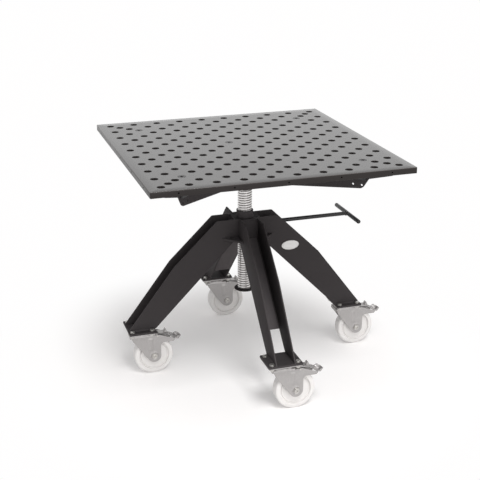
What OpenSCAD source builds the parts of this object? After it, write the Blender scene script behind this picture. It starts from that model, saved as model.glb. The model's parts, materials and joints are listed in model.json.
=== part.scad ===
// Tilting work table. A perforated steel plate stands on a tilting head, a
// threaded spindle sets its height, and four sheet-metal legs carry the
// spindle's hub on braked swivel casters.
// The origin is the mouth of the plate's centre bore, on the work surface. X
// runs to the right along the front edge, Y to the back and Z up. Everything
// is drawn with the plate level and the spindle at its usual height.

/* [Main sizes] */
// Height of the work surface above the floor
table_h = 935; // [920:5:950]
// Depth of the hub's top below the work surface
hub_depth = 296; // [290:1:310]
// Distance of each caster's kingpin from the spindle
foot_r = 450; // [440:5:470]
// Room between two faces that are put together
fit_gap = 0.1; // [0.05:0.05:0.2]
// Running room between a shaft and its bore, on the radius
run_gap = 0.05; // [0.02:0.01:0.09]

/* [Plate] */
// Side of the square plate
plate_w = 1000; // [960:10:1100]
// Thickness of the plate
plate_t = 23; // [20:1:26]
// Distance between two bores of a row
grid_pitch = 100; // [95:1:104]
// Diameter of the plate's bores
bore_d = 28; // [16:1:28]
// Diameter of the threaded holes in the plate's edges
edge_hole_d = 6; // [5:0.5:10]
// Depth of the threaded holes in the plate's edges
edge_hole_l = 18; // [10:1:24]
// Shank diameter of the screws that hold the plate
plate_screw_d = 16; // [12:1:18]
// Head diameter of the screws that hold the plate
plate_screw_head_d = 30; // [26:1:32]
// Length of the corner screws
plate_screw_l = 76; // [74:1:80]
// Width across flats of the screws' hexagon sockets
socket_w = 10; // [8:1:12]
// Depth of the screws' hexagon sockets
socket_l = 8; // [6:1:12]

/* [Ribs] */
// Thickness of the ribs
rib_t = 6; // [5:0.5:10]
// Depth of the ribs' line below the work surface, at the spindle
rib_mid_depth = 160; // [150:1:166]
// Rise of the ribs' lower edge per unit of length
rib_slope_share = 0.1; // [0.08:0.01:0.12]
// Distance of a rib's inner end from the spindle
rib_start_r = 105; // [100:1:110]
// Distance of a rib's outer end from the plate's corner
rib_end_inset = 95; // [80:1:110]
// Depth of a rib's outer end below the work surface
rib_end_depth = 45; // [35:1:55]
// Length of the shallow tail outside a rib's heel
rib_tail_l = 92; // [80:1:100]
// Depth of the heel's upper corner below the work surface
heel_top_depth = 70; // [68:1:74]
// Lean of the heel's end
heel_lean = 21; // [15:1:26]
// Width of the heel's cut corner
heel_cut = 9; // [5:1:12]
// Height of the heel's cut corner
heel_cut_h = 6; // [4:1:9]
// Diameter of the two small holes in each heel
heel_hole_d = 8.5; // [6:0.5:11]
// Distance of the small holes from the heel's tip
heel_hole_inset = 7; // [6:1:9]
// Distance between the two small holes
heel_hole_gap = 35; // [30:1:45]
// Depth of the small holes below the work surface
heel_hole_depth = 97.5; // [95:0.5:99]

/* [Rib nuts] */
// Length of a nut along its rib
rib_nut_l = 36; // [28:1:37]
// Width of a nut across its rib
rib_nut_w = 26; // [24:1:34]
// Thickness of a nut
rib_nut_t = 10; // [8:1:12]
// Depth of a nut's top below the work surface
rib_nut_depth = 65; // [60:1:66]
// Room round a nut in its slot
rib_nut_gap = 0.5; // [0.2:0.1:0.8]

/* [Tilting head] */
// Depth of the tilting axis below the work surface
pivot_depth = 105; // [100:1:108]
// Diameter of the tilting pin
pivot_d = 25; // [20:1:28]
// Side of the square pad under the plate
pad_w = 170; // [160:1:171]
// Thickness of the pad
pad_t = 12; // [10:1:15]
// Room round a plate bore in the pad
pad_bore_gap = 3; // [1:0.5:4]
// Width of the head's tongue between the cheeks
tongue_w = 46; // [40:1:46]
// Diameter of the tongue's round top
tongue_d = 60; // [54:1:64]
// Thickness of each cheek
cheek_t = 12; // [10:0.5:12]
// Room between the tongue and each cheek
cheek_gap = 0.5; // [0.3:0.1:0.8]
// Width of the cheeks at the pad
cheek_top_w = 150; // [130:1:160]
// Height of the cheeks' straight top
cheek_top_h = 10; // [6:1:14]
// Radius of the cheeks' round end
cheek_r = 62; // [60:0.5:63]
// Radius of the arc along which the locking stud travels
arc_r = 45; // [44:0.5:47]
// Angle through which the plate tilts
tilt_angle = 45; // [30:1:45]
// Room round the stud in the arc slot
arc_gap = 0.5; // [0.3:0.1:0.8]
// Diameter of the head's flange
flange_d = 70; // [64:1:78]
// Thickness of the head's flange
flange_t = 8; // [6:1:9]
// Depth of the flange's underside below the work surface
flange_depth = 178; // [177:1:184]
// Diameter of the spindle's spigot in the head
spigot_d = 30; // [24:1:34]
// Length of the spindle's spigot in the head
spigot_l = 16; // [10:1:18]
// Diameter of the tilting pin's head
pivot_head_d = 38; // [32:1:42]
// Thickness of the tilting pin's head
pivot_head_t = 10; // [6:1:14]
// Width across flats of the tilting pin's nut
pivot_nut_w = 36; // [32:1:40]
// Thickness of the tilting pin's nut
pivot_nut_t = 12; // [10:1:14]

/* [Tilt lock] */
// Diameter of the locking stud
stud_d = 12; // [10:1:13]
// Length of the stud inside the tongue
stud_grip_l = 10; // [8:1:12]
// Diameter of the stud's washer
stud_washer_d = 26; // [24:1:30]
// Thickness of the stud's washer
stud_washer_t = 3; // [2:0.5:4]
// Diameter of the lever's hub
lever_hub_d = 28; // [24:1:30]
// Length of the lever's hub
lever_hub_l = 18; // [16:1:24]
// Diameter of the lever's arm
lever_arm_d = 11; // [9:0.5:12]
// Length of the lever from the stud to the middle of its knob
lever_l = 85; // [75:1:90]
// Diameter of the lever's knob
lever_knob_d = 22; // [18:1:24]

/* [Spindle] */
// Outer diameter of the spindle
spindle_d = 58; // [52:1:60]
// Depth of the spindle's lower end below the work surface
spindle_end_depth = 612; // [606:1:620]
// Chamfer on the spindle's ends
spindle_chamfer = 2.5; // [1:0.5:4]
// Diameter of the stop disc
disc_d = 86; // [78:1:100]
// Thickness of the stop disc
disc_t = 3; // [2:0.5:6]
// Shank diameter of the stop screw
disc_screw_d = 16; // [12:1:20]
// Length of the stop screw inside the spindle
disc_screw_l = 32; // [24:1:45]
// Width across flats of the stop screw's head
disc_screw_w = 24; // [20:1:30]
// Thickness of the stop screw's head
disc_screw_head_t = 10; // [7:1:13]

/* [Hub] */
// Outer diameter of the spindle nut
nut_d = 68; // [66:0.5:69]
// Height of the spindle nut above the hub
nut_rise = 27; // [20:1:28]
// Thickness of the hub's top and bottom plates
hub_plate_t = 8; // [6:0.5:10]
// Distance of the hub's walls' outer faces from the spindle
hub_wall_r = 55; // [50:1:60]
// Thickness of the hub's walls
hub_wall_t = 5; // [4:0.5:7]
// Height from the hub's bottom plate's top to the hub's top
hub_inner_h = 74; // [70:1:80]
// Reach of the gussets along a leg from the hub's corner
gusset_l = 68; // [50:1:80]

/* [Clamp screw] */
// Depth of the clamp screw's axis below the hub's top
clamp_drop = 38; // [34:1:42]
// Diameter of the clamp screw
clamp_d = 16; // [14:0.5:18]
// Distance from the spindle to the middle of the handle
clamp_reach = 453; // [440:1:470]
// Diameter of the handle
handle_d = 17; // [14:0.5:20]
// Length of the handle
handle_l = 240; // [200:5:260]
// Rounding of the handle's ends
handle_round = 5; // [2:0.5:6]
// Outer diameter of the clamp boss
boss_d = 32; // [28:1:36]
// Distance of the clamp boss's outer end from the spindle
boss_end = 78; // [70:1:100]
// Length of the pressure pad
press_l = 9; // [6:0.5:12]
// Room between the pressure pad and the spindle
press_gap = 0.4; // [0.3:0.1:0.8]

/* [Legs] */
// Width of a leg over its two side sheets
leg_w = 80; // [78:1:90]
// Thickness of the side sheets
leg_t = 5; // [3:0.5:5]
// Distance of the upper corner of a side sheet from the spindle
leg_top_r = 129; // [115:1:145]
// Distance of the knee of a side sheet from its outer end
knee_inset = 194; // [174:1:214]
// Depth of the knee below the hub's top
knee_drop = 176; // [165:1:190]
// Radial length of a side sheet on its foot plate
leg_foot_l = 112; // [100:1:114]
// Distance of a side sheet's outer end beyond the kingpin
leg_foot_out = 54; // [48:1:55]
// Thickness of the web between the side sheets
web_t = 5; // [3:0.5:6]
// Distance of the web's lower end from the foot plate
web_end_gap = 69; // [45:1:95]
// Depth of the badge's centre below the hub's top
badge_drop = 135; // [130:1:145]
// Width of the badge
badge_w = 75; // [60:1:84]
// Height of the badge
badge_h = 40; // [34:1:44]
// Thickness of the badge
badge_t = 2; // [1.5:0.1:3]
// Width of the badge's raised rim
badge_rim = 3; // [2:0.5:5]
// Depth of the badge's face below its rim
badge_sink = 0.8; // [0.4:0.1:1.2]
// Diameter of the badge's rivets
rivet_d = 5; // [3:0.5:6]
// Height of the badge's rivets
rivet_h = 1.2; // [0.8:0.1:2]
// Distance of the badge's rivets from its ends
rivet_inset = 9; // [8:0.5:12]

/* [Feet] */
// Width of a foot plate along its leg
foot_l = 110; // [108:1:120]
// Width of a foot plate across its leg
foot_w = 138; // [130:1:150]
// Thickness of a foot plate
foot_t = 8; // [6:0.5:10]
// Hole distance along the leg
hole_gap_l = 80; // [76:1:84]
// Hole distance across the leg
hole_gap_w = 105; // [103:1:110]
// Diameter of the foot bolts
bolt_d = 10; // [8:0.5:11]
// Width across flats of the foot bolts' heads and nuts
bolt_w = 17; // [15:0.5:18]
// Thickness of the foot bolts' heads
bolt_head_t = 6.4; // [5:0.1:8]
// Thickness of the foot bolts' nuts
bolt_nut_t = 8; // [6:0.5:9]
// Length of bolt that stands out below its nut
bolt_out = 4; // [2:0.5:5]
// Room round a bolt in its hole
bolt_gap = 0.5; // [0.3:0.1:1]

/* [Casters] */
// Diameter of a wheel
wheel_d = 160; // [150:1:164]
// Width of a wheel's tread
wheel_w = 45; // [40:1:46]
// Height from the floor to the underside of a foot plate
caster_h = 199; // [196:1:204]
// Distance of the axle behind the kingpin
trail = 52; // [48:1:56]
// Thickness of a caster's top plate
caster_plate_t = 5; // [4:0.5:6]
// Width of a caster's top plate along its leg
caster_plate_l = 105; // [100:1:108]
// Width of a caster's top plate across its leg
caster_plate_w = 135; // [128:1:138]
// Diameter of the swivel's two races
race_d = 84; // [70:1:92]
// Height of each race
race_h = 8; // [7:0.5:9]
// Room between the two races
race_gap = 0.8; // [0.5:0.1:1]
// Diameter of the kingpin
kingpin_d = 20; // [16:1:24]
// Diameter of the kingpin's head
kingpin_head_d = 32; // [28:1:38]
// Thickness of the kingpin's head
kingpin_head_t = 5; // [4:0.5:6]
// Room under the fork's crown, above the kingpin's head
kingpin_gap = 0.4; // [0.3:0.1:0.8]
// Thickness of the fork's sheet
fork_t = 4; // [3:0.5:5]
// Distance between the fork's cheeks
fork_gap_w = 55; // [54:0.5:60]
// Reach of the fork's crown ahead of the kingpin
crown_front = 45; // [43:1:48]
// Reach of the fork's crown behind the kingpin
crown_back = 45; // [43:1:48]
// Distance of the cheek's shoulder ahead of the kingpin
shoulder_front = 36; // [30:1:42]
// Depth of the cheek's shoulder below the crown's top
shoulder_drop = 22; // [18:1:26]
// Radius of the cheek's round lower end
cheek_end_r = 27.5; // [24:0.5:30]
// Radius of the hollow between cheek and wing
wing_fillet = 14; // [10:1:16]
// Depth of the wing's lower edge below the crown's top
wing_low = 40; // [38:1:42]
// Distance of the wing's lower corner behind the kingpin
wing_low_x = 134; // [128:1:136]
// Distance of the wing's tip behind the kingpin
wing_tip_x = 142; // [139:1:146]
// Depth of the wing's tip below the crown's top
wing_tip_low = 31; // [26:1:35]
// Distance of the end of the wing's level top behind the kingpin
wing_top_x = 60; // [54:1:66]

/* [Axles and wheels] */
// Diameter of the wheel's axle
axle_d = 12; // [10:0.5:14]
// Width across flats of the axle's head and nut
axle_head_w = 19; // [17:0.5:22]
// Thickness of the axle's head
axle_head_t = 7.5; // [6:0.5:9]
// Thickness of the axle's nut
axle_nut_t = 10; // [8:0.5:12]
// Outer diameter of the wheel's bearing bush
bush_d = 30; // [26:0.5:34]
// Room between the bush and each cheek of the fork
bush_side_gap = 0.5; // [0.3:0.1:1]
// Diameter of the wheel's hub
wheel_hub_d = 52; // [46:1:60]
// Width of the wheel's hub
wheel_hub_w = 50; // [47:0.5:52]
// Radial thickness of the tread ring
tread_t = 22; // [16:1:26]
// Depth of the recess in the wheel's sides
wheel_recess = 7; // [4:0.5:10]
// Rounding of the tread's edges
tread_round = 6; // [3:0.5:8]

/* [Brake pedals] */
// Diameter of a pedal's round head
pedal_head_d = 50; // [44:1:52]
// Width of a pedal's neck
pedal_neck_w = 38; // [34:1:42]
// Thickness of a pedal's sheet
pedal_t = 4; // [3:0.5:5]
// Thickness of the rim and of the side flanges
pedal_rim_t = 3; // [2:0.5:3.5]
// Height of the rim above the head
pedal_rim_h = 8; // [5:0.5:9]
// Distance behind the kingpin at which the rim starts
pedal_rim_x = 152; // [148:1:156]
// Distance of the pedal's pin behind the kingpin
pedal_pin_x = 66; // [65:0.5:68]
// Depth of the pedal's pin below the crown's top
pedal_pin_low = 10; // [9.5:0.5:10.5]
// Diameter of the pedal's pin
pedal_pin_d = 7; // [5:0.5:8]
// Radius of the flanges round the pin
pedal_eye_r = 7; // [6.5:0.1:7.2]
// Distance of the pedal's inner edge behind the kingpin
pedal_start_x = 74; // [73:0.5:76]
// Depth of the pedal's inner edge below the crown's top
pedal_start_low = 4; // [2:0.5:5]
// Distance of the pedal's crest behind the kingpin
pedal_crest_x = 105; // [100:1:108]
// Depth of the pedal's crest below the crown's top
pedal_crest_low = 6; // [3:0.5:8]
// Distance of the pedal's waist behind the kingpin
pedal_waist_x = 122; // [118:1:126]
// Depth of the pedal's waist below the crown's top
pedal_waist_low = 16; // [12:0.5:18]
// Distance of the pedal's tip behind the kingpin
pedal_tip_x = 170; // [164:1:174]
// Depth of the pedal's tip below the crown's top
pedal_tip_low = 37; // [32:0.5:40]
// Height of the side flanges at the waist
pedal_flange_h = 9; // [7:0.5:10]
// Distance of the brake shoe behind the kingpin
shoe_x = 90; // [88:1:92]
// Width of the brake shoe
shoe_w = 24; // [18:1:27]
// Length of the brake shoe
shoe_l = 12; // [8:1:14]
// Room between the brake shoe and the tread when the brake is off
shoe_gap = 5; // [5:0.5:6]

/* [Hidden] */
$fn = 48;

// Overrun of every cut past the face that it opens
cut = 2;
// Steps of a rounded stretch in an outline
arc_steps = 6;

// Heights of the floor, the feet and the hub
floor_z = -table_h;
foot_z = floor_z + caster_h;
leg_foot_z = foot_z + foot_t;
hub_z = -hub_depth;
hub_bottom_z = hub_z - hub_inner_h;

// The bores stand in rows of an even count, with a second grid between them
row_count = 2 * floor(plate_w / grid_pitch / 2);
row_end = (row_count - 1) / 2 * grid_pitch;
screw_xy = row_end - grid_pitch;
screw_r = screw_xy * sqrt(2);
mid_screw_xy = grid_pitch / 2;
edge_step = 2 * grid_pitch;
edge_count = row_count / 2;
screw_cone_h = (plate_screw_head_d - plate_screw_d) / 2;

// Rib outline
corner_r = plate_w / sqrt(2);
rib_end_r = corner_r - rib_end_inset;
heel_r = rib_end_r - rib_tail_l;
heel_low_r = heel_r - heel_lean;
heel_cut_r = heel_low_r - heel_cut;
pad_corner_r = pad_w / sqrt(2);
pad_low_z = -plate_t - pad_t;

// Tilting head
pivot_z = -pivot_depth;
flange_z = -flange_depth;
cheek_x = tongue_w / 2 + cheek_gap;
cheek_out_x = cheek_x + cheek_t;
stud_z = pivot_z - arc_r;
washer_x = cheek_out_x + fit_gap;
lever_x = washer_x + stud_washer_t + fit_gap;
slot_w = stud_d + 2 * arc_gap;

// Spindle
spindle_end_z = -spindle_end_depth;
disc_z = spindle_end_z - fit_gap;
disc_head_z = disc_z - disc_t - fit_gap;
nut_top_z = hub_z + nut_rise;
nut_low_z = hub_bottom_z - hub_plate_t;

// Clamp screw
clamp_z = hub_z - clamp_drop;
press_x = spindle_d / 2 + press_gap;
clamp_x = press_x + press_l + fit_gap;

// Leg outline
leg_out_r = foot_r + leg_foot_out;
leg_in_r = leg_out_r - leg_foot_l;
leg_start_r = leg_w / 2;
knee_r = leg_out_r - knee_inset;
web_end_r = foot_r - foot_l / 2 - web_end_gap;
leg_inner_w = leg_w - 2 * leg_t;
inner_slope = (hub_bottom_z - leg_foot_z) / (leg_in_r - leg_start_r);
inner_angle = atan(inner_slope);
web_start_r = leg_start_r + (hub_plate_t + web_t / cos(inner_angle)) / inner_slope + fit_gap;

// The badge sits midway between the edges of its side sheet
badge_z = hub_z - badge_drop;
badge_out_r = leg_top_r + (knee_r - leg_top_r) * badge_drop / knee_drop;
badge_in_r = leg_start_r + (hub_bottom_z - badge_z) / inner_slope;
badge_r = (badge_in_r + badge_out_r) / 2;

// Caster heights
plate_low_z = foot_z - caster_plate_t;
race_low_z = plate_low_z - race_h - race_gap;
crown_z = race_low_z - race_h;
crown_low_z = crown_z - fork_t;
axle_z = floor_z + wheel_d / 2;
fork_out = fork_gap_w / 2 + fork_t;
wing_x = trail + cheek_end_r;
pedal_pin_z = crown_z - pedal_pin_low;

// Legs, feet and casters go round the spindle in this order
LEG_ANGLES = [0, 90, 180, 270];
RIB_ANGLES = [45, 135, 225, 315];

BLACK = [0.13, 0.12, 0.12];
PLATE_GREY = [0.55, 0.54, 0.53];
STEEL = [0.75, 0.75, 0.76];
ZINC = [0.66, 0.66, 0.67];
NYLON = [0.9, 0.89, 0.87];
BRASS = [0.72, 0.58, 0.3];
SILVER = [0.7, 0.7, 0.68];

// Points of an arc round c, from angle a0 to angle a1
function arc_points(c, r, a0, a1) =
    [for (i = [0 : arc_steps]) let (a = a0 + (a1 - a0) * i / arc_steps) c + r * [cos(a), sin(a)]];

// Where a line from p touches a circle of radius r round c, on its lower left
function touch(p, c, r) =
    let (
        d = c - p,
        l = norm(d),
        a = atan2(d[1], d[0]) - asin(r / l)
    )
    p + sqrt(l * l - r * r) * [cos(a), sin(a)];

// Cylinder along X from x0 to x1
module rod_x(d, x0, x1) {
    translate([x0, 0, 0]) rotate([0, 90, 0]) cylinder(d = d, h = x1 - x0);
}

// Cylinder along Y, centred on the XZ plane or from y0 to y1
module rod_y(d, y0, y1) {
    translate([0, y1, 0]) rotate([90, 0, 0]) cylinder(d = d, h = y1 - y0);
}

// Hexagonal prism with a given width across flats
module hex(w, h) {
    cylinder(d = w / cos(30), h = h, $fn = 6);
}

// A shape drawn in X and Z, as thick as t from y0 towards +Y
module upright(t, y0) {
    translate([0, y0 + t, 0]) rotate([90, 0, 0]) linear_extrude(t) children();
}

// Copies at the four corners of a rectangle
module corners(dx, dy) {
    for (sx = [-1, 1], sy = [-1, 1])
        translate([sx * dx / 2, sy * dy / 2, 0]) children();
}

// True where a bore of the main grid is closed by a screw
function is_screw(i, j) =
    ((i == 1 || i == row_count - 2) && (j == 1 || j == row_count - 2))
    || (i == row_count / 2 - 1 && j == row_count / 2);

// True at a corner of the second grid
function is_corner(i, j) =
    (i == 0 || i == row_count - 2) && (j == 0 || j == row_count - 2);

// Every through bore, as children placed at its centre
module at_bores() {
    for (i = [0 : row_count - 1], j = [0 : row_count - 1])
        if (!is_screw(i, j))
            translate([i * grid_pitch - row_end, j * grid_pitch - row_end, 0]) children();
    for (i = [0 : row_count - 2], j = [0 : row_count - 2])
        translate([(i + 1 / 2) * grid_pitch - row_end, (j + 1 / 2) * grid_pitch - row_end, 0])
            if (is_corner(i, j))
                for (s = [-1, 1])
                    translate([s * (i == j ? 1 : -1), s, 0] * grid_pitch / 6) children();
            else
                children();
}

// The five screws that hold the plate
module at_corner_screws() {
    for (a = RIB_ANGLES) rotate([0, 0, a]) translate([screw_r, 0, 0]) children();
}

module at_mid_screw() {
    translate([-mid_screw_xy, mid_screw_xy, 0]) children();
}

module screw_hole() {
    translate([0, 0, -plate_t - cut])
        cylinder(d = plate_screw_d + 2 * fit_gap, h = plate_t + 2 * cut);
    translate([0, 0, -screw_cone_h])
        cylinder(
            d1 = plate_screw_d + 2 * fit_gap,
            d2 = plate_screw_head_d + 2 * (fit_gap + cut),
            h = screw_cone_h + cut
        );
}

module edge_holes() {
    for (a = LEG_ANGLES, i = [0 : edge_count - 1])
        rotate([0, 0, a])
            translate([plate_w / 2, (i - (edge_count - 1) / 2) * edge_step, -plate_t / 2])
                rod_x(edge_hole_d, -edge_hole_l, cut);
}

module table_plate() {
    color(PLATE_GREY)
        difference() {
            translate([-plate_w / 2, -plate_w / 2, -plate_t]) cube([plate_w, plate_w, plate_t]);
            at_bores() translate([0, 0, -plate_t - cut]) cylinder(d = bore_d, h = plate_t + 2 * cut);
            at_corner_screws() screw_hole();
            at_mid_screw() screw_hole();
            edge_holes();
        }
}

// Countersunk screw with a hexagon socket, its head level with the plate
module plate_screw(l) {
    difference() {
        rotate_extrude()
            polygon([
                [0, 0], [plate_screw_head_d / 2, 0], [plate_screw_d / 2, -screw_cone_h],
                [plate_screw_d / 2, -l], [0, -l]
            ]);
        translate([0, 0, -socket_l]) hex(socket_w, socket_l + cut);
    }
}

module plate_screws() {
    color(STEEL) {
        at_corner_screws() plate_screw(plate_screw_l);
        at_mid_screw() plate_screw(plate_t + pad_t);
    }
}

function rib_low_z(r) = rib_slope_share * r - rib_mid_depth;

// One of the four upright ribs, drawn along +X and turned into place
module rib(a) {
    nut_hole_l = rib_nut_l + 2 * rib_nut_gap;
    nut_hole_t = rib_nut_t + 2 * rib_nut_gap;
    slit_w = plate_screw_d + 2 * rib_nut_gap;
    color(BLACK) rotate([0, 0, a])
        upright(rib_t, -rib_t / 2)
            difference() {
                polygon([
                    [rib_start_r, pad_low_z - fit_gap],
                    [pad_corner_r + fit_gap, pad_low_z - fit_gap],
                    [pad_corner_r + fit_gap, -plate_t],
                    [rib_end_r, -plate_t],
                    [rib_end_r, -rib_end_depth],
                    [heel_r, -heel_top_depth],
                    [heel_low_r, rib_low_z(heel_cut_r) + heel_cut_h],
                    [heel_cut_r, rib_low_z(heel_cut_r)],
                    [rib_start_r, rib_low_z(rib_start_r)]
                ]);
                translate([screw_r - slit_w / 2, -plate_screw_l - rib_nut_gap])
                    square([slit_w, plate_screw_l + rib_nut_gap - plate_t + cut]);
                translate([screw_r - nut_hole_l / 2, -rib_nut_depth - rib_nut_t - rib_nut_gap])
                    square([nut_hole_l, nut_hole_t]);
                for (x = [0, heel_hole_gap])
                    translate([heel_low_r - heel_hole_inset - x, -heel_hole_depth])
                        circle(d = heel_hole_d);
            }
}

module rib_nuts() {
    color(ZINC) at_corner_screws()
        translate([0, 0, -rib_nut_depth - rib_nut_t])
            difference() {
                translate([-rib_nut_l / 2, -rib_nut_w / 2, 0])
                    cube([rib_nut_l, rib_nut_w, rib_nut_t]);
                translate([0, 0, -cut])
                    cylinder(d = plate_screw_d + 2 * run_gap, h = rib_nut_t + 2 * cut);
            }
}

// Pad welded to the ribs' inner ends, open under the plate's bores
module centre_pad() {
    color(BLACK)
        difference() {
            translate([-pad_w / 2, -pad_w / 2, pad_low_z]) cube([pad_w, pad_w, pad_t]);
            translate([0, 0, pad_low_z - cut]) {
                cylinder(d = bore_d + 2 * pad_bore_gap, h = pad_t + 2 * cut);
                for (p = [[-1, -1], [1, -1], [1, 1]])
                    translate([p[0], p[1], 0] * mid_screw_xy)
                        cylinder(d = bore_d + 2 * pad_bore_gap, h = pad_t + 2 * cut);
                at_mid_screw() cylinder(d = plate_screw_d + 2 * run_gap, h = pad_t + 2 * cut);
            }
        }
}

// Slot along an arc from straight below the pivot to the full tilt, with round ends
module arc_slot() {
    a0 = -90;
    a1 = -90 - tilt_angle;
    e = slot_w / 2;
    polygon(concat(
        arc_points([0, 0], arc_r + e, a0, a1),
        arc_points(arc_r * [cos(a1), sin(a1)], e, a1, a1 - 180),
        arc_points([0, 0], arc_r - e, a1, a0),
        arc_points(arc_r * [cos(a0), sin(a0)], e, a0 + 180, a0)
    ));
}

// Cheek that hangs from the pad and holds the tilting pin
module tilt_cheek(side, slotted) {
    top_z = pad_low_z - pivot_z;
    shoulder = [-cheek_top_w / 2, top_z - cheek_top_h];
    tangent = touch(shoulder, [0, 0], cheek_r);
    color(BLACK)
        translate([side * (cheek_x + cheek_t / 2) - cheek_t / 2, 0, pivot_z])
            rotate([90, 0, 90]) linear_extrude(cheek_t)
                difference() {
                    union() {
                        circle(r = cheek_r);
                        polygon([
                            [shoulder[0], top_z], shoulder, tangent, [-tangent[0], tangent[1]],
                            [-shoulder[0], shoulder[1]], [-shoulder[0], top_z]
                        ]);
                    }
                    circle(d = pivot_d + 2 * run_gap);
                    if (slotted) arc_slot();
                }
}

module pivot_pin() {
    color(STEEL) translate([0, 0, pivot_z]) {
        rod_x(pivot_head_d, -cheek_out_x - fit_gap - pivot_head_t, -cheek_out_x - fit_gap);
        rod_x(pivot_d, -cheek_out_x - fit_gap, cheek_out_x + fit_gap + pivot_nut_t);
    }
}

module pivot_nut() {
    color(STEEL) translate([cheek_out_x + fit_gap, 0, pivot_z])
        difference() {
            rotate([0, 90, 0]) hex(pivot_nut_w, pivot_nut_t);
            rod_x(pivot_d + 2 * run_gap, -cut, pivot_nut_t + cut);
        }
}

// Tongue with a round top on a flange, bored for the pin, the stud and the spigot
module tilt_head() {
    color(BLACK)
        difference() {
            union() {
                translate([0, 0, pivot_z]) rod_x(tongue_d, -tongue_w / 2, tongue_w / 2);
                translate([-tongue_w / 2, -tongue_d / 2, flange_z])
                    cube([tongue_w, tongue_d, pivot_z - flange_z]);
                translate([0, 0, flange_z]) cylinder(d = flange_d, h = flange_t);
            }
            translate([0, 0, pivot_z])
                rod_x(pivot_d + 2 * run_gap, -tongue_w / 2 - cut, tongue_w / 2 + cut);
            translate([0, 0, stud_z])
                rod_x(stud_d + 2 * run_gap, tongue_w / 2 - stud_grip_l, tongue_w / 2 + cut);
            translate([0, 0, flange_z - cut])
                cylinder(d = spigot_d + 2 * fit_gap, h = spigot_l + fit_gap + cut);
        }
}

// Stud through the arc slot, with its washer
module lock_stud() {
    color(STEEL) translate([0, 0, stud_z]) {
        rod_x(stud_d, tongue_w / 2 - stud_grip_l, lever_x + lever_hub_l);
        difference() {
            rod_x(stud_washer_d, washer_x, washer_x + stud_washer_t);
            rod_x(stud_d + 2 * run_gap, washer_x - cut, washer_x + stud_washer_t + cut);
        }
    }
}

module lock_lever() {
    arm_x = lever_x + lever_hub_l / 2;
    color(BLACK) translate([0, 0, stud_z])
        difference() {
            union() {
                rod_x(lever_hub_d, lever_x, lever_x + lever_hub_l);
                translate([arm_x, 0, 0]) {
                    rod_y(lever_arm_d, 0, lever_l);
                    translate([0, lever_l, 0]) sphere(d = lever_knob_d);
                }
            }
            rod_x(stud_d + 2 * run_gap, lever_x - cut, lever_x + lever_hub_l + cut);
        }
}

// Spindle over its thread, with the spigot that enters the head
module spindle() {
    r = spindle_d / 2;
    c = spindle_chamfer;
    top_z = flange_z - fit_gap;
    color(STEEL)
        difference() {
            rotate_extrude()
                polygon([
                    [0, spindle_end_z], [r - c, spindle_end_z], [r, spindle_end_z + c],
                    [r, top_z - c], [r - c, top_z], [spigot_d / 2, top_z],
                    [spigot_d / 2, flange_z + spigot_l - fit_gap], [0, flange_z + spigot_l - fit_gap]
                ]);
            translate([0, 0, spindle_end_z - cut])
                cylinder(d = disc_screw_d + 2 * run_gap, h = disc_screw_l + fit_gap + cut);
        }
}

module stop_screw() {
    color(STEEL) {
        translate([0, 0, disc_head_z])
            cylinder(d = disc_screw_d, h = spindle_end_z - disc_head_z + disc_screw_l);
        translate([0, 0, disc_head_z - disc_screw_head_t]) hex(disc_screw_w, disc_screw_head_t);
    }
}

module stop_disc() {
    color(BLACK) translate([0, 0, disc_z - disc_t])
        difference() {
            cylinder(d = disc_d, h = disc_t);
            translate([0, 0, -cut]) cylinder(d = disc_screw_d + 2 * run_gap, h = disc_t + 2 * cut);
        }
}

// Pressure pad at the clamp screw's tip
module clamp_pad() {
    color(BRASS) translate([0, 0, clamp_z]) rod_x(clamp_d, press_x, press_x + press_l);
}

// Clamp screw, hollowed at its end where the handle lies against it
module clamp_rod() {
    color(BLACK) translate([0, 0, clamp_z])
        difference() {
            rod_x(clamp_d, clamp_x, clamp_reach);
            translate([clamp_reach, 0, 0]) rod_y(handle_d + 2 * fit_gap, -clamp_d, clamp_d);
        }
}

module clamp_handle() {
    r = handle_d / 2;
    e = handle_l / 2;
    q = handle_round;
    color(BLACK) translate([clamp_reach, 0, clamp_z]) rotate([90, 0, 0])
        rotate_extrude()
            polygon(concat(
                [[0, -e]], arc_points([r - q, q - e], q, -90, 0), arc_points([r - q, e - q], q, 0, 90),
                [[0, e]]
            ));
}

// Threaded boss in the hub's wall, for the clamp screw
module clamp_boss() {
    color(BLACK) translate([0, 0, clamp_z])
        difference() {
            rod_x(boss_d, nut_d / 2 + fit_gap, boss_end);
            rod_x(clamp_d + 2 * run_gap, nut_d / 2 - cut, boss_end + cut);
        }
}

module spindle_nut() {
    color(BLACK)
        difference() {
            translate([0, 0, nut_low_z]) cylinder(d = nut_d, h = nut_top_z - nut_low_z);
            translate([0, 0, nut_low_z - cut])
                cylinder(d = spindle_d + 2 * run_gap, h = nut_top_z - nut_low_z + 2 * cut);
            translate([0, 0, clamp_z]) rod_x(clamp_d + 2 * run_gap, 0, nut_d / 2 + cut);
        }
}

// Cross-shaped plate that fills the hub between the side sheets
module hub_plate(z) {
    translate([0, 0, z])
        difference() {
            for (a = [0, 90]) rotate([0, 0, a])
                translate([-hub_wall_r, -leg_inner_w / 2, 0])
                    cube([2 * hub_wall_r, leg_inner_w, hub_plate_t]);
            translate([0, 0, -cut]) cylinder(d = nut_d + 2 * fit_gap, h = hub_plate_t + 2 * cut);
        }
}

module hub_top_plate() {
    color(BLACK) hub_plate(hub_z - hub_plate_t);
}

module hub_bottom_plate() {
    color(BLACK) hub_plate(nut_low_z);
}

// Three-cornered plates between neighbouring legs
module hub_gussets() {
    r = leg_w / 2;
    color(BLACK) for (a = LEG_ANGLES) rotate([0, 0, a]) translate([0, 0, nut_low_z])
        linear_extrude(hub_plate_t)
            polygon([[r, r], [r + gusset_l, r], [r, r + gusset_l]]);
}

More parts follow.
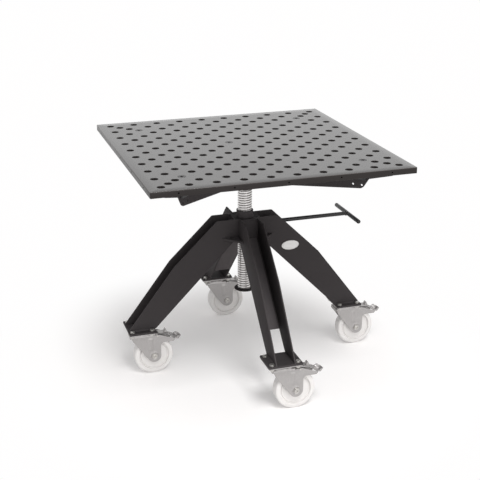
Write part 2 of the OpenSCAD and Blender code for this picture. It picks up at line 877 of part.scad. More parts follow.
// Upright walls that close the hub towards each leg
module hub_walls() {
    color(BLACK)
        difference() {
            for (a = LEG_ANGLES) rotate([0, 0, a])
                translate([hub_wall_r - hub_wall_t, -leg_inner_w / 2, hub_bottom_z])
                    cube([hub_wall_t, leg_inner_w, hub_inner_h - hub_plate_t]);
            translate([0, 0, clamp_z]) rod_x(boss_d + 2 * fit_gap, 0, hub_wall_r + cut);
        }
}

// The two side sheets of one leg, drawn along +X and turned into place
module leg_sides(a) {
    color(BLACK) rotate([0, 0, a]) for (s = [-1, 1]) {
        start_r = s > 0 ? leg_start_r - leg_t : leg_start_r;
        upright(leg_t, s > 0 ? leg_w / 2 - leg_t : -leg_w / 2)
            polygon([
                [start_r, hub_z], [leg_top_r, hub_z], [knee_r, hub_z - knee_drop],
                [leg_out_r, leg_foot_z], [leg_in_r, leg_foot_z],
                [leg_start_r, hub_bottom_z], [start_r, hub_bottom_z]
            ]);
    }
}

// Webs along the inner edges of the side sheets
module leg_webs() {
    web_l = (web_end_r - web_start_r) / cos(inner_angle);
    color(BLACK) for (a = LEG_ANGLES) rotate([0, 0, a])
        translate([web_start_r, -leg_inner_w / 2, hub_bottom_z - (web_start_r - leg_start_r) * inner_slope])
            rotate([0, inner_angle, 0]) cube([web_l, leg_inner_w, web_t]);
}

module foot_plate(a) {
    color(BLACK) rotate([0, 0, a]) translate([foot_r, 0, foot_z])
        difference() {
            translate([-foot_l / 2, -foot_w / 2, 0]) cube([foot_l, foot_w, foot_t]);
            corners(hole_gap_l, hole_gap_w)
                translate([0, 0, -cut]) cylinder(d = bolt_d + 2 * bolt_gap, h = foot_t + 2 * cut);
        }
}

// Hexagon bolts through foot and caster plate, with their nuts
module foot_bolts() {
    low_z = plate_low_z - bolt_nut_t - bolt_out;
    color(STEEL) for (a = LEG_ANGLES) rotate([0, 0, a]) translate([foot_r, 0, 0])
        corners(hole_gap_l, hole_gap_w) {
            translate([0, 0, leg_foot_z]) hex(bolt_w, bolt_head_t);
            translate([0, 0, low_z]) cylinder(d = bolt_d, h = leg_foot_z - low_z);
            translate([0, 0, plate_low_z - bolt_nut_t])
                difference() {
                    hex(bolt_w, bolt_nut_t);
                    translate([0, 0, -cut])
                        cylinder(d = bolt_d + 2 * run_gap, h = bolt_nut_t + 2 * cut);
                }
        }
}

// Ellipse of 60 corners, w wide and h high
module oval(w, h) {
    polygon([for (i = [0 : 59]) [w / 2 * cos(i * 6), h / 2 * sin(i * 6)]]);
}

// Bare oval plate with a raised rim and two rivets, on the right leg
module badge() {
    face_y = -leg_w / 2 - badge_t + badge_sink;
    color(SILVER) translate([badge_r, 0, badge_z]) {
        difference() {
            upright(badge_t, -leg_w / 2 - badge_t) oval(badge_w, badge_h);
            upright(badge_sink + cut, face_y - badge_sink - cut)
                oval(badge_w - 2 * badge_rim, badge_h - 2 * badge_rim);
        }
        for (s = [-1, 1])
            translate([s * (badge_w / 2 - rivet_inset), 0, 0])
                rod_y(rivet_d, face_y - rivet_h, face_y);
    }
}

// Top plates of the casters, each with its upper race
module caster_plates() {
    color(ZINC) for (a = LEG_ANGLES) rotate([0, 0, a]) translate([foot_r, 0, plate_low_z])
        difference() {
            union() {
                translate([-caster_plate_l / 2, -caster_plate_w / 2, 0])
                    cube([caster_plate_l, caster_plate_w, caster_plate_t]);
                translate([0, 0, -race_h]) cylinder(d = race_d, h = race_h);
            }
            translate([0, 0, -race_h - cut])
                cylinder(d = kingpin_d + 2 * fit_gap, h = race_h + caster_plate_t + 2 * cut);
            corners(hole_gap_l, hole_gap_w)
                translate([0, 0, -cut])
                    cylinder(d = bolt_d + 2 * bolt_gap, h = caster_plate_t + 2 * cut);
        }
}

module kingpins() {
    head_z = crown_low_z - kingpin_gap;
    color(STEEL) for (a = LEG_ANGLES) rotate([0, 0, a]) translate([foot_r, 0, 0]) {
        translate([0, 0, head_z]) cylinder(d = kingpin_d, h = foot_z - head_z);
        translate([0, 0, head_z - kingpin_head_t]) cylinder(d = kingpin_head_d, h = kingpin_head_t);
    }
}

// Puts a caster under the leg that points at angle a; all trail towards +X
module at_caster(a) {
    translate([foot_r * cos(a), foot_r * sin(a), 0]) children();
}

// Outline of a fork's cheek with the wing that shields the brake
module cheek_outline() {
    shoulder = [-shoulder_front, crown_z - shoulder_drop];
    axle = [trail, axle_z];
    fillet_z = crown_z - wing_low - wing_fillet;
    difference() {
        union() {
            translate(axle) circle(r = cheek_end_r);
            polygon(concat(
                [
                    [-crown_front, crown_z], shoulder, touch(shoulder, axle, cheek_end_r), axle,
                    [wing_x, axle_z]
                ],
                arc_points([wing_x + wing_fillet, fillet_z], wing_fillet, 180, 90),
                [
                    [wing_low_x, crown_z - wing_low], [wing_tip_x, crown_z - wing_tip_low],
                    [wing_top_x, crown_z]
                ]
            ));
        }
        translate(axle) circle(d = axle_d + 2 * fit_gap);
        translate([pedal_pin_x, pedal_pin_z]) circle(d = pedal_pin_d + 2 * fit_gap);
    }
}

module fork(a) {
    color(ZINC) at_caster(a)
        difference() {
            union() {
                for (s = [-1, 1])
                    upright(fork_t, s > 0 ? fork_gap_w / 2 : -fork_out) cheek_outline();
                translate([-crown_front, -fork_out, crown_low_z])
                    cube([crown_front + crown_back, 2 * fork_out, fork_t]);
                translate([0, 0, crown_z]) cylinder(d = race_d, h = race_h);
            }
            translate([0, 0, crown_low_z - cut])
                cylinder(d = kingpin_d + 2 * run_gap, h = fork_t + race_h + 2 * cut);
        }
}

// Bolt and nut that carry the wheel, and the pedal's pin
module axle(a) {
    nut_y = fork_out + fit_gap;
    color(STEEL) at_caster(a) {
        translate([trail, 0, axle_z]) {
            rod_y(axle_d, -nut_y, nut_y + axle_nut_t);
            translate([0, -nut_y, 0]) rotate([90, 0, 0]) hex(axle_head_w, axle_head_t);
            difference() {
                translate([0, nut_y + axle_nut_t, 0]) rotate([90, 0, 0]) hex(axle_head_w, axle_nut_t);
                rod_y(axle_d + 2 * run_gap, nut_y - cut, nut_y + axle_nut_t + cut);
            }
        }
        translate([pedal_pin_x, 0, pedal_pin_z]) rod_y(pedal_pin_d, -fork_out, fork_out);
    }
}

// Solid wheel with recessed sides and rounded tread edges
module wheel(a) {
    r = wheel_d / 2;
    w = wheel_w / 2;
    web_w = w - wheel_recess;
    hub_r = wheel_hub_d / 2;
    tread_r = r - tread_t;
    q = tread_round;
    half = concat(
        [
            [bush_d / 2 + fit_gap, wheel_hub_w / 2], [hub_r, wheel_hub_w / 2], [hub_r, web_w],
            [tread_r, web_w], [tread_r, w]
        ],
        arc_points([r - q, w - q], q, 90, 0)
    );
    color(NYLON) at_caster(a) translate([trail, 0, axle_z]) rotate([90, 0, 0])
        rotate_extrude($fn = 96)
            polygon(concat(half, [for (i = [len(half) - 1 : -1 : 0]) [half[i][0], -half[i][1]]]));
}

// Bearing bush that turns with the wheel on the axle
module bush(a) {
    e = fork_gap_w / 2 - bush_side_gap;
    color(STEEL) at_caster(a) translate([trail, 0, axle_z])
        difference() {
            rod_y(bush_d, -e, e);
            rod_y(axle_d + 2 * run_gap, -e - cut, e + cut);
        }
}

// Side view of the pedal's sheet, from low to high above its upper face
module pedal_band(low, high) {
    top = [
        [pedal_start_x, crown_z - pedal_start_low], [pedal_crest_x, crown_z - pedal_crest_low],
        [pedal_waist_x, crown_z - pedal_waist_low], [pedal_tip_x, crown_z - pedal_tip_low]
    ];
    upright(pedal_head_d, -pedal_head_d / 2)
        polygon(concat(
            [for (p = top) p + [0, high]],
            [for (i = [len(top) - 1 : -1 : 0]) top[i] + [0, low]]
        ));
}

// Upright prism over the whole pedal, from an outline in X and Y
module pedal_plan() {
    translate([0, 0, axle_z]) linear_extrude(crown_z - axle_z + pedal_t + pedal_rim_h) children();
}

// Pedal of bent sheet with a rimmed round head, side flanges and the brake shoe
module pedal(a) {
    pin = [pedal_pin_x, pedal_pin_z];
    head_x = pedal_tip_x - pedal_head_d / 2;
    half_w = pedal_neck_w / 2;
    mid_z = crown_z - pedal_t / 2;
    waist_z = mid_z - pedal_waist_low;
    color(ZINC) at_caster(a)
        difference() {
            union() {
                intersection() {
                    pedal_band(-pedal_t, 0);
                    pedal_plan() {
                        translate([head_x, 0]) circle(d = pedal_head_d);
                        translate([pedal_start_x, -half_w])
                            square([head_x - pedal_start_x, pedal_neck_w]);
                    }
                }
                intersection() {
                    pedal_band(-pedal_t, pedal_rim_h);
                    pedal_plan() difference() {
                        translate([head_x, 0]) circle(d = pedal_head_d);
                        translate([head_x, 0]) circle(d = pedal_head_d - 2 * pedal_rim_t);
                        translate([0, -pedal_head_d]) square([pedal_rim_x, 2 * pedal_head_d]);
                    }
                }
                for (s = [-1, 1])
                    upright(pedal_rim_t, s > 0 ? half_w - pedal_rim_t : -half_w) {
                        translate(pin) circle(r = pedal_eye_r);
                        polygon([
                            pin + [0, pedal_eye_r], [pedal_start_x, mid_z - pedal_start_low],
                            [pedal_crest_x, mid_z - pedal_crest_low],
                            [pedal_waist_x, waist_z], [pedal_waist_x, waist_z - pedal_flange_h],
                            pin - [0, pedal_eye_r]
                        ]);
                    }
                difference() {
                    translate([shoe_x - shoe_l / 2, -shoe_w / 2, axle_z])
                        cube([shoe_l, shoe_w, mid_z - pedal_crest_low - axle_z]);
                    translate([trail, 0, axle_z]) rod_y(wheel_d + 2 * shoe_gap, -shoe_w, shoe_w);
                }
            }
            translate([pin[0], 0, pin[1]])
                rod_y(pedal_pin_d + 2 * run_gap, -pedal_neck_w, pedal_neck_w);
        }
}

table_plate();
plate_screws();
rib(225);  // rib_front_left
rib(315);  // rib_front_right
rib(45);  // rib_back_right
rib(135);  // rib_back_left
rib_nuts();
centre_pad();
tilt_cheek(-1, false);  // tilt_cheek_left
tilt_cheek(1, true);  // tilt_cheek_right
pivot_pin();
pivot_nut();
tilt_head();
lock_stud();
lock_lever();
spindle();
stop_screw();
stop_disc();
clamp_pad();
clamp_rod();
clamp_handle();
clamp_boss();
spindle_nut();
hub_top_plate();
hub_bottom_plate();
hub_gussets();
hub_walls();
leg_sides(0);  // leg_sides_right
leg_sides(90);  // leg_sides_back
leg_sides(180);  // leg_sides_left
leg_sides(270);  // leg_sides_front
leg_webs();
foot_plate(0);  // foot_plate_right
foot_plate(90);  // foot_plate_back
foot_plate(180);  // foot_plate_left
foot_plate(270);  // foot_plate_front
foot_bolts();
badge();
caster_plates();
kingpins();
fork(0);  // fork_right
fork(90);  // fork_back
fork(180);  // fork_left
fork(270);  // fork_front
axle(0);  // axle_right
axle(90);  // axle_back
axle(180);  // axle_left
axle(270);  // axle_front
wheel(0);  // wheel_right
wheel(90);  // wheel_back
wheel(180);  // wheel_left
wheel(270);  // wheel_front
bush(0);  // bush_right
bush(90);  // bush_back
bush(180);  // bush_left
bush(270);  // bush_front
pedal(0);  // pedal_right
pedal(90);  // pedal_back
pedal(180);  // pedal_left
pedal(270);  // pedal_front
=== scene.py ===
"""Looks of a tilting work table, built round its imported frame.

Every piece is a surface worked out as whole arrays: a profile carried round an
axis, or a sheet whose flat pattern is triangulated and then bent into place.
Lengths are metres, and mm() turns rows of millimetres into them. Sizes that a
user would change are properties of the scene.
"""
import json
import math

import bmesh
import bpy
import numpy as np
from bpy.props import FloatProperty, FloatVectorProperty, PointerProperty
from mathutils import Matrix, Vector
from mathutils.geometry import delaunay_2d_cdt


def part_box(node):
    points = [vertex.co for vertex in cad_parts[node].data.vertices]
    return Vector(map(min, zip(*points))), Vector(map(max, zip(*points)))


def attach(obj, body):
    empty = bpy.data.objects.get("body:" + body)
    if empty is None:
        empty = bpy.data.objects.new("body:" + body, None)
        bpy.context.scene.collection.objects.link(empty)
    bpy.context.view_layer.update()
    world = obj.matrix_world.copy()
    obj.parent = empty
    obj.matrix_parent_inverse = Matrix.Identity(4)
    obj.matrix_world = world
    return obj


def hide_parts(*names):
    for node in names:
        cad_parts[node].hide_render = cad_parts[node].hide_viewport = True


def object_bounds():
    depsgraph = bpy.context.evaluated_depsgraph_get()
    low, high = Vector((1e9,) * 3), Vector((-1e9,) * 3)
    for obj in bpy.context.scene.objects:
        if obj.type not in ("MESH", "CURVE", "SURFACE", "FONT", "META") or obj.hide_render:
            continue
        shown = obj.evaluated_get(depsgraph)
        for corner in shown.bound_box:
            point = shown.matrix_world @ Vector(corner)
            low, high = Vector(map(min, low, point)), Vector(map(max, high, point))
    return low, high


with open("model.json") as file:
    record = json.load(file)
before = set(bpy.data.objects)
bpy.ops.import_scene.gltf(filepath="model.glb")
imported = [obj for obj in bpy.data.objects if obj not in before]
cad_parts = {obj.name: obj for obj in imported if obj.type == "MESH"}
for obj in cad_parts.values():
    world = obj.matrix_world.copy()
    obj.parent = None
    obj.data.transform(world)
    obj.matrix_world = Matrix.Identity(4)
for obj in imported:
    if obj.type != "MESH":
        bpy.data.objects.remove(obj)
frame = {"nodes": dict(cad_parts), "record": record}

CAD_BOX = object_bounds()

bl_info = {
    "name": "Tilting work table",
    "version": (1, 0, 0),
    "blender": (4, 5, 0),
    "location": "View3D > Sidebar > Work table",
    "description": "Builds the pieces and the finishes of a tilting work table",
    "category": "Object",
}

MM = 0.001
TURN = 2 * math.pi
SIDES = ("right", "back", "left", "front")
# Angles of the four sides, in degrees
QUARTERS = (0, 90, 180, 270)
# Points nearer than this become one
MERGE = 4e-6
# Angle between faces from which their edge stays sharp
SHARP = math.radians(32)
# How far a quarter round of radius 1 draws in, and how deep, at four angles
EASE = np.array([(1 - math.sin(a), 1 - math.cos(a)) for a in np.radians([0, 30, 60, 90])])
# Sheet of the legs, webs, hub walls and caster plates
SHEET = 5 * MM
# Half the width between a leg's two sheets, and half the width over them
HUB_HALF = 35 * MM
LEG_HALF = 40 * MM
# A foot's four bolts: half their distances along and across the leg, signs, radius of the holes
BOLT_GAPS = np.array([40, 52.5]) * MM
CORNERS = np.array([(-1, -1), (-1, 1), (1, -1), (1, 1)])
BOLT_HOLE = 5.5 * MM
# Casters: axle behind the kingpin, half the fork's width, race over the crown, sheet of fork and
# pedal, radius of the kingpin's hole
TRAIL = 52 * MM
FORK_HALF = 31.5 * MM
RACE = 8 * MM
CASTER_SHEET = 4 * MM
KINGPIN_HOLE = 10.4 * MM
# Brake pedal: distance of its pin from the kingpin, half its width
PEDAL_PIN = 66 * MM
PEDAL_HALF = 19 * MM
# Light that the floor adds for the camera, so that it is white where nothing shades it
FLOOR_LIFT = 0.14
# Strength of the white surroundings as a source of light
WORLD_LIGHT = 0.58


def mm(*rows):
    """Rows of millimetres as an array of metres."""
    return np.array(rows, float) * MM


def size(name, metres, description):
    """A length that the user can change, in metres."""
    return FloatProperty(name=name, description=description, default=metres, unit="LENGTH", precision=5)


def share(name, value, description):
    """A share from 0 to 1."""
    return FloatProperty(name=name, description=description, default=value, min=0.0, max=1.0)


def colour(name, rgb, description):
    """A linear colour that the user can change."""
    return FloatVectorProperty(
        name=name, description=description, default=rgb, subtype="COLOR", min=0.0, max=1.0, size=3
    )


class WT_PlateSizes(bpy.types.PropertyGroup):
    """Sizes of the perforated plate and its screws."""
    pitch: size("Bore pitch", 0.1, "Distance between two bores of a row")
    bore: size("Bore", 0.028, "Diameter of the bores")
    chamfer: size("Bore chamfer", 0.0012, "Chamfer at both mouths of a bore")
    edge: size("Edge rounding", 0.0012, "Rounding of the plate's edges")
    corner: size("Corner rounding", 0.003, "Rounding of the plate's upright corners")
    thread: size("Edge hole", 0.006, "Diameter of the threaded holes in the edges")
    thread_depth: size("Edge hole depth", 0.018, "Depth of the threaded holes in the edges")
    head: size("Screw head", 0.030, "Diameter of the countersunk heads")
    shank: size("Screw shank", 0.016, "Diameter of the screws' shanks")
    socket: size("Socket", 0.010, "Width of the hexagon sockets")
    socket_depth: size("Socket depth", 0.008, "Depth of the hexagon sockets")


class WT_FrameSizes(bpy.types.PropertyGroup):
    """Sizes of the welded ribs, hub, legs and feet."""
    cut_edge: size("Cut edge", 0.0007, "Rounding of the edges of cut sheets")
    weld: size("Weld", 0.0035, "Leg length of the weld fillets")
    weld_step: size("Weld ripple", 0.0028, "Distance between two ripples of a weld")


class WT_SpindleSizes(bpy.types.PropertyGroup):
    """Sizes of the spindle's trapezoidal thread."""
    pitch: size("Thread pitch", 0.010, "Rise of the thread in one turn")
    depth: size("Thread depth", 0.0052, "Depth of the thread")
    crest: share("Crest share", 0.46, "Share of the pitch that the thread's crest takes")
    root: share("Root share", 0.26, "Share of the pitch that the thread's root takes")


class WT_CasterSizes(bpy.types.PropertyGroup):
    """Sizes of the forks, wheels and brake pedals."""
    bend: size("Fork bend", 0.006, "Outer radius of the fork's two bends")
    pressing: size("Pressing height", 0.0018, "Height of the beads pressed into the fork's cheeks")
    groove: size("Wheel groove", 0.0035, "Depth of the groove between tread and disc")
    ladder: size("Ladder hole", 0.0075, "Length of the four windows in a pedal's neck")


class WT_Finishes(bpy.types.PropertyGroup):
    """Colours of the finishes."""
    plate: colour("Plate", (0.026, 0.0225, 0.0215), "Ground and blackened plate")
    coat: colour("Black coat", (0.050, 0.045, 0.046), "Powder coat of ribs, hub and legs")
    spindle: colour("Spindle", (0.80, 0.78, 0.77), "Bright crest of the thread")
    # The thread root's colour is painted shade: darker than the crest, as the groove's shade
    groove: colour("Thread root", (0.50, 0.485, 0.48), "Oiled root of the thread")
    blackened: colour("Blackened steel", (0.030, 0.029, 0.030), "Handle, screw heads and small black parts")
    bright: colour("Bright fasteners", (0.52, 0.51, 0.50), "Zinc-plated bolts and nuts")
    zinc: colour("Zinc", (0.41, 0.395, 0.39), "Zinc-plated sheet of the casters")
    nylon: colour("Nylon", (0.78, 0.76, 0.745), "Cast nylon of the wheels")
    badge: colour("Badge", (0.72, 0.71, 0.70), "Satin face of the bare badge")
    brass: colour("Brass", (0.56, 0.40, 0.17), "Pressure pad")
    floor: colour("Floor", (0.93, 0.915, 0.91), "Pale studio floor")


# Name of the body that each CAD node rides on
BODY_OF = {
    node: body for body, nodes in frame["record"]["behaviour"]["bodies"].items() for node in nodes
}


def polar(x, y, r, a):
    """Points at the angles a round (x, y)."""
    return np.c_[x + r * np.cos(a), y + r * np.sin(a)]


def circle(x, y, r, n):
    """n points round a circle, anticlockwise from its right."""
    return polar(x, y, r, np.arange(n) * TURN / n)


def arc(x, y, r, a0, a1, n):
    """n points along an arc from a0 to a1, in degrees."""
    return polar(x, y, r, np.radians(np.linspace(a0, a1, n)))


def round_box(x0, y0, x1, y1, r, n=5):
    """Rectangle with round corners, anticlockwise: four quarter arcs joined by straight sides."""
    arcs = ((x1 - r, y0 + r, -90), (x1 - r, y1 - r, 0), (x0 + r, y1 - r, 90), (x0 + r, y0 + r, 180))
    return np.vstack([arc(x, y, r, a, a + 90, n) for x, y, a in arcs])


def rounded(points, r, n=4):
    """Outline whose corners are eased: each corner gives way to a quadratic curve that starts and
    ends r away from it, or a third of the side where that is less."""
    p = np.asarray(points, float)

    def towards(neighbour):
        side = neighbour - p
        length = np.linalg.norm(side, axis=1, keepdims=True)
        return (p + side / length * np.minimum(r, length / 3))[:, None]
    t = np.linspace(0, 1, n)[None, :, None]
    start, end = towards(np.roll(p, 1, 0)), towards(np.roll(p, -1, 0))
    return ((1 - t) ** 2 * start + 2 * t * (1 - t) * p[:, None] + t ** 2 * end).reshape(-1, 2)


def dense(loop, step):
    """The same outline with a point at least every step."""
    ends = np.roll(loop, -1, 0)
    counts = np.maximum(1, np.ceil(np.linalg.norm(ends - loop, axis=1) / step).astype(int))
    index = np.repeat(np.arange(len(loop)), counts)
    first = np.cumsum(counts) - counts
    t = ((np.arange(len(index)) - first[index]) / counts[index])[:, None]
    return loop[index] * (1 - t) + ends[index] * t


def turned_way(loop, anticlockwise):
    """The outline in the wanted sense of turning. Its area, half the sum of the cross products of
    neighbouring points, is positive if it runs anticlockwise."""
    after = np.roll(loop, -1, 0)
    area = np.sum(loop[:, 0] * after[:, 1] - loop[:, 1] * after[:, 0]) / 2
    return loop if (area > 0) == anticlockwise else loop[::-1]


def inset(loop, d):
    """Outline moved by d to its left: each point moves along the sum of its two sides' normals,
    divided by 1 plus their dot product."""
    side = np.roll(loop, -1, 0) - loop
    normal = np.c_[-side[:, 1], side[:, 0]]
    normal /= np.linalg.norm(normal, axis=1, keepdims=True)
    before = np.roll(normal, 1, 0)
    return loop + d * (normal + before) / (1 + np.sum(normal * before, axis=1, keepdims=True))


def lattice(loops, step):
    """Points of a square lattice that lie between the outlines, at least half a step from each."""
    low, high = loops[0].min(0), loops[0].max(0)
    axes = [np.arange(low[k] + step / 2, high[k], step) for k in (0, 1)]
    p = np.stack(np.meshgrid(*axes), axis=-1).reshape(-1, 2)
    inside = np.zeros(len(p), bool)
    clear = np.ones(len(p), bool)
    q = p[:, None]
    for loop in loops:
        a, b = loop[None], np.roll(loop, -1, 0)[None]
        ab = b - a
        crosses = (a[..., 1] > q[..., 1]) != (b[..., 1] > q[..., 1])
        rise = np.where(ab[..., 1] == 0, 1.0, ab[..., 1])
        at = a[..., 0] + (q[..., 1] - a[..., 1]) * ab[..., 0] / rise
        inside ^= (crosses & (q[..., 0] < at)).sum(1) % 2 == 1
        t = np.clip(np.sum((q - a) * ab, -1) / np.maximum(np.sum(ab * ab, -1), 1e-18), 0, 1)
        clear &= np.linalg.norm(q - a - t[..., None] * ab, axis=-1).min(1) > step / 2
    return p[inside & clear]


def between(loops, step=0.0):
    """Triangles between an outer outline and its holes, by constrained Delaunay triangulation,
    with a lattice of points inside if a step is given. Triangles with all corners on one hole
    lie inside that hole and are left out."""
    points = np.vstack(loops + ([lattice(loops, step)] if step else []))
    owner = np.full(len(points), -1)
    edges = []
    start = 0
    for k, loop in enumerate(loops):
        n = len(loop)
        i = np.arange(n)
        edges += np.c_[start + i, start + (i + 1) % n].tolist()
        owner[start:start + n] = k
        start += n
    out = delaunay_2d_cdt([Vector(p) for p in points], edges, [], 1, 1e-9)
    verts, faces = np.array([v[:] for v in out[0]]), np.array(out[2])
    loop_id = np.array([owner[s[0]] if s else -1 for s in out[3]])[faces]
    in_hole = (loop_id[:, 0] > 0) & (loop_id == loop_id[:, :1]).all(1)
    return verts, faces[~in_hole]


def grid_faces(rows, cols, wrap_rows=False, wrap_cols=False):
    """Quads between neighbours of a grid whose points are numbered row by row."""
    counts = (rows - (not wrap_rows), cols - (not wrap_cols))
    i, j = np.indices(counts)
    i2, j2 = (i + 1) % rows, (j + 1) % cols
    return np.stack([i * cols + j, i * cols + j2, i2 * cols + j2, i2 * cols + j], axis=-1).reshape(-1, 4)


class Shells:
    """Closed surfaces of one piece, gathered before they become one mesh."""

    def __init__(self):
        self.verts = []
        self.faces = []
        self.count = 0
        self.at()

    def at(self, x=0.0, y=0.0, z=0.0, angle=0.0):
        """What follows is moved by (x, y, z), then turned about the spindle, in degrees."""
        self.origin = (x, y, z)
        self.angle = angle
        return self

    def add(self, verts, faces):
        verts = turn_points(np.reshape(verts, (-1, 3)) + self.origin, self.angle)
        self.verts.append(verts)
        self.faces += (np.asarray(faces) + self.count).tolist()
        self.count += len(verts)

    def grid(self, points, wrap_rows=False, wrap_cols=False):
        self.add(points, grid_faces(*points.shape[:2], wrap_rows, wrap_cols))

    def turned(self, profile, n=64, axis="Z", closed=False, shape=None):
        """Points (radius, height) carried round an axis through the origin; the height runs along
        the axis. closed joins the last row to the first, and shape changes the radius from
        (radius, angle)."""
        r, h = np.asarray(profile, float).T[:, :, None]
        a = (np.arange(n) * TURN / n)[None]
        r, h = r + 0 * a, h + 0 * a
        if shape is not None:
            r = shape(r, a)
        self.grid(plane(axis)(r * np.cos(a), r * np.sin(a), h), closed, True)

    def sheet(self, outline, holes, t, edge, place, step=0.0):
        """Sheet with rounded edges: place turns (u, v, w) into points, where u and v lie in the
        flat pattern and w runs through the thickness from 0 to t. The two faces are triangulated
        inside outlines drawn in by the rounding, and quarter rounds join them over the rim."""
        loops = [turned_way(np.asarray(outline), True)] + [turned_way(h, False) for h in holes]
        if step:
            loops = [dense(loop, step) for loop in loops]
        verts, faces = between([inset(loop, edge) for loop in loops], step)
        for w in (0.0, t):
            self.add(place(verts[:, 0], verts[:, 1], np.full(len(verts), w)), faces)
        inward, height = (edge * EASE).T
        inward = np.r_[inward, inward[::-1]]
        height = np.r_[t - height, height[::-1]]
        for loop in loops:
            rows = np.stack([inset(loop, d) for d in inward])
            w = np.repeat(height[:, None], len(loop), axis=1)
            self.grid(place(rows[..., 0], rows[..., 1], w), False, True)

    def rod(self, d, low, high, ease, axis="Z"):
        """Round bar with eased ends: a quarter round of radius ease at each end."""
        ends = [d / 2, 0] + ease * EASE * [-1, 1]
        profile = np.vstack([(0, low), ends + [0, low], (ends * [1, -1])[::-1] + [0, high], (0, high)])
        self.turned(profile, 48, axis)

    def ring(self, inner, outer, low, high, ease, n=64, axis="Z"):
        """Ring with eased edges: a rounded rectangle carried round the axis."""
        self.turned(round_box(inner, low, outer, high, ease, 3), n, axis, True)

    def hex_head(self, width, seat, tip, axis="Z"):
        """Hexagonal head or nut from its seat to its tip, with a turned chamfer at the tip: the
        hexagon's radius, cut by a cone."""
        corner = width / math.sqrt(3)
        cone = np.linspace(corner, width / 2 * 0.93, 5)
        drop = (cone - cone[-1]) * math.copysign(0.55, tip - seat)
        profile = [(0, seat), (corner, seat), *zip(cone, tip - drop), (0, tip)]
        self.turned(profile, 72, axis, shape=hexagon(width))

    def socket_head(self, key, floor, face, point, rest, axis="Z"):
        """Turned head with a hexagon socket from its face down to its floor and a drilled point
        below; rest is the profile from the socket's mouth on. Only the socket is hexagonal."""
        mouth = key / math.sqrt(3)
        down = math.copysign(MM, floor - face)
        profile = [
            (0, floor + point * down), (key / 2 * 0.9, floor), (mouth, floor), (mouth, face + 0.4 * down),
            (mouth + 0.6 * MM, face), *rest
        ]
        inside = hexagon(key)
        self.turned(profile, 48, axis, shape=lambda r, a: np.where(r < mouth + 0.1 * MM, inside(r, a), r))

    def race(self, root, rim, inner):
        """Race of a swivel from its root on the sheet to its rim, which is flat from inner
        outwards and eased on both sides."""
        down = math.copysign(MM, root - rim)
        hole, r = KINGPIN_HOLE, 42 * MM
        self.turned([
            (hole, root), (r, root), (r, rim + 3 * down), (r - 0.8 * MM, rim + down), (r - 3 * MM, rim),
            (inner, rim), (inner - 2 * MM, rim + down), (hole, rim + down)
        ], 72, closed=True)

    def weld(self, path, normals, part=1.0):
        """Weld fillet along a path: a quarter-round section between two directions square to each
        other, whose radius swells by an eighth with every ripple. part scales its leg length."""
        s = bpy.context.scene.wt_frame
        path, (out, up) = np.asarray(path, float), np.asarray(normals, float)
        length = np.linalg.norm(path[1] - path[0])
        t = np.linspace(0, 1, max(2, int(length / (s.weld_step / 4))))[:, None]
        p = path[0] * (1 - t) + path[1] * t
        a = np.radians(np.linspace(0, 90, 5))[:, None]
        section = np.vstack([-0.2 * (out + up), np.cos(a) * out + np.sin(a) * up])
        leg = part * s.weld * (1 + 0.12 * np.abs(np.sin(t * length / s.weld_step * math.pi)))
        caps = np.repeat(p[[0, -1], None], len(section), axis=1)
        self.grid(np.concatenate([caps[:1], p[:, None] + leg[:, None] * section, caps[1:]]), False, True)

    def piece(self, name, finish, node):
        """Makes the gathered surfaces one object that stands for the CAD node and rides on its
        body. Doubles are merged and faces turned outwards."""
        mesh = bpy.data.meshes.new(name)
        mesh.from_pydata(np.vstack(self.verts), [], self.faces)
        bm = bmesh.new()
        bm.from_mesh(mesh)
        bmesh.ops.remove_doubles(bm, verts=bm.verts, dist=MERGE)
        bmesh.ops.recalc_face_normals(bm, faces=bm.faces)
        bm.to_mesh(mesh)
        bm.free()
        mesh.polygons.foreach_set("use_smooth", np.ones(len(mesh.polygons), bool))
        mesh.set_sharp_from_angle(angle=SHARP)
        obj = bpy.data.objects.new(name, mesh)
        bpy.context.scene.collection.objects.link(obj)
        obj.data.materials.append(finish_of(finish))
        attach(obj, BODY_OF[node])
        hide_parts(node)


def plane(axis, start=0.0):
    """Place for a flat sheet whose thickness w runs along an axis from start on, while u and v
    run along the two other axes."""
    def place(u, v, w):
        rows = [u, v]
        rows.insert("XYZ".index(axis), w + start)
        return np.stack(rows, axis=-1)
    return place


def turn_points(points, angle):
    """Points in plan or in space, turned about the spindle."""
    p = np.array(points, float)
    c, s = math.cos(math.radians(angle)), math.sin(math.radians(angle))
    p[:, :2] = p[:, :2] @ np.array([[c, s], [-s, c]])
    return p


def hexagon(width):
    """Radius of a hexagon with that width across its flats, never more than the profile's."""
    return lambda r, a: np.minimum(r, width / 2 / np.cos((a + TURN / 12) % (TURN / 6) - TURN / 12))


def both_ways(operation):
    """An operator's two methods, with the value on its left and on its right."""
    return lambda v, other: v.math(operation, v, other), lambda v, other: v.math(operation, other, v)


class Value:
    """One socket of a shader graph. Sums, differences and products with it add Math nodes."""
    __add__, __radd__ = both_ways("ADD")
    __sub__, __rsub__ = both_ways("SUBTRACT")
    __mul__, __rmul__ = both_ways("MULTIPLY")

    def __init__(self, graph, socket):
        self.graph = graph
        self.socket = socket

    def math(self, operation, a, b):
        return self.graph.node("ShaderNodeMath", {"operation": operation}, {0: a, 1: b})

    def power(self, other):
        return self.math("POWER", self, other)

    def largest(self, other):
        return self.math("MAXIMUM", self, other)

    def step(self, low, high):
        """0 below low, 1 above high, smooth between."""
        return self.graph.node(
            "ShaderNodeMapRange", {"interpolation_type": "SMOOTHSTEP"},
            {"Value": self, "From Min": low, "From Max": high, "To Min": 0.0, "To Max": 1.0}
        )


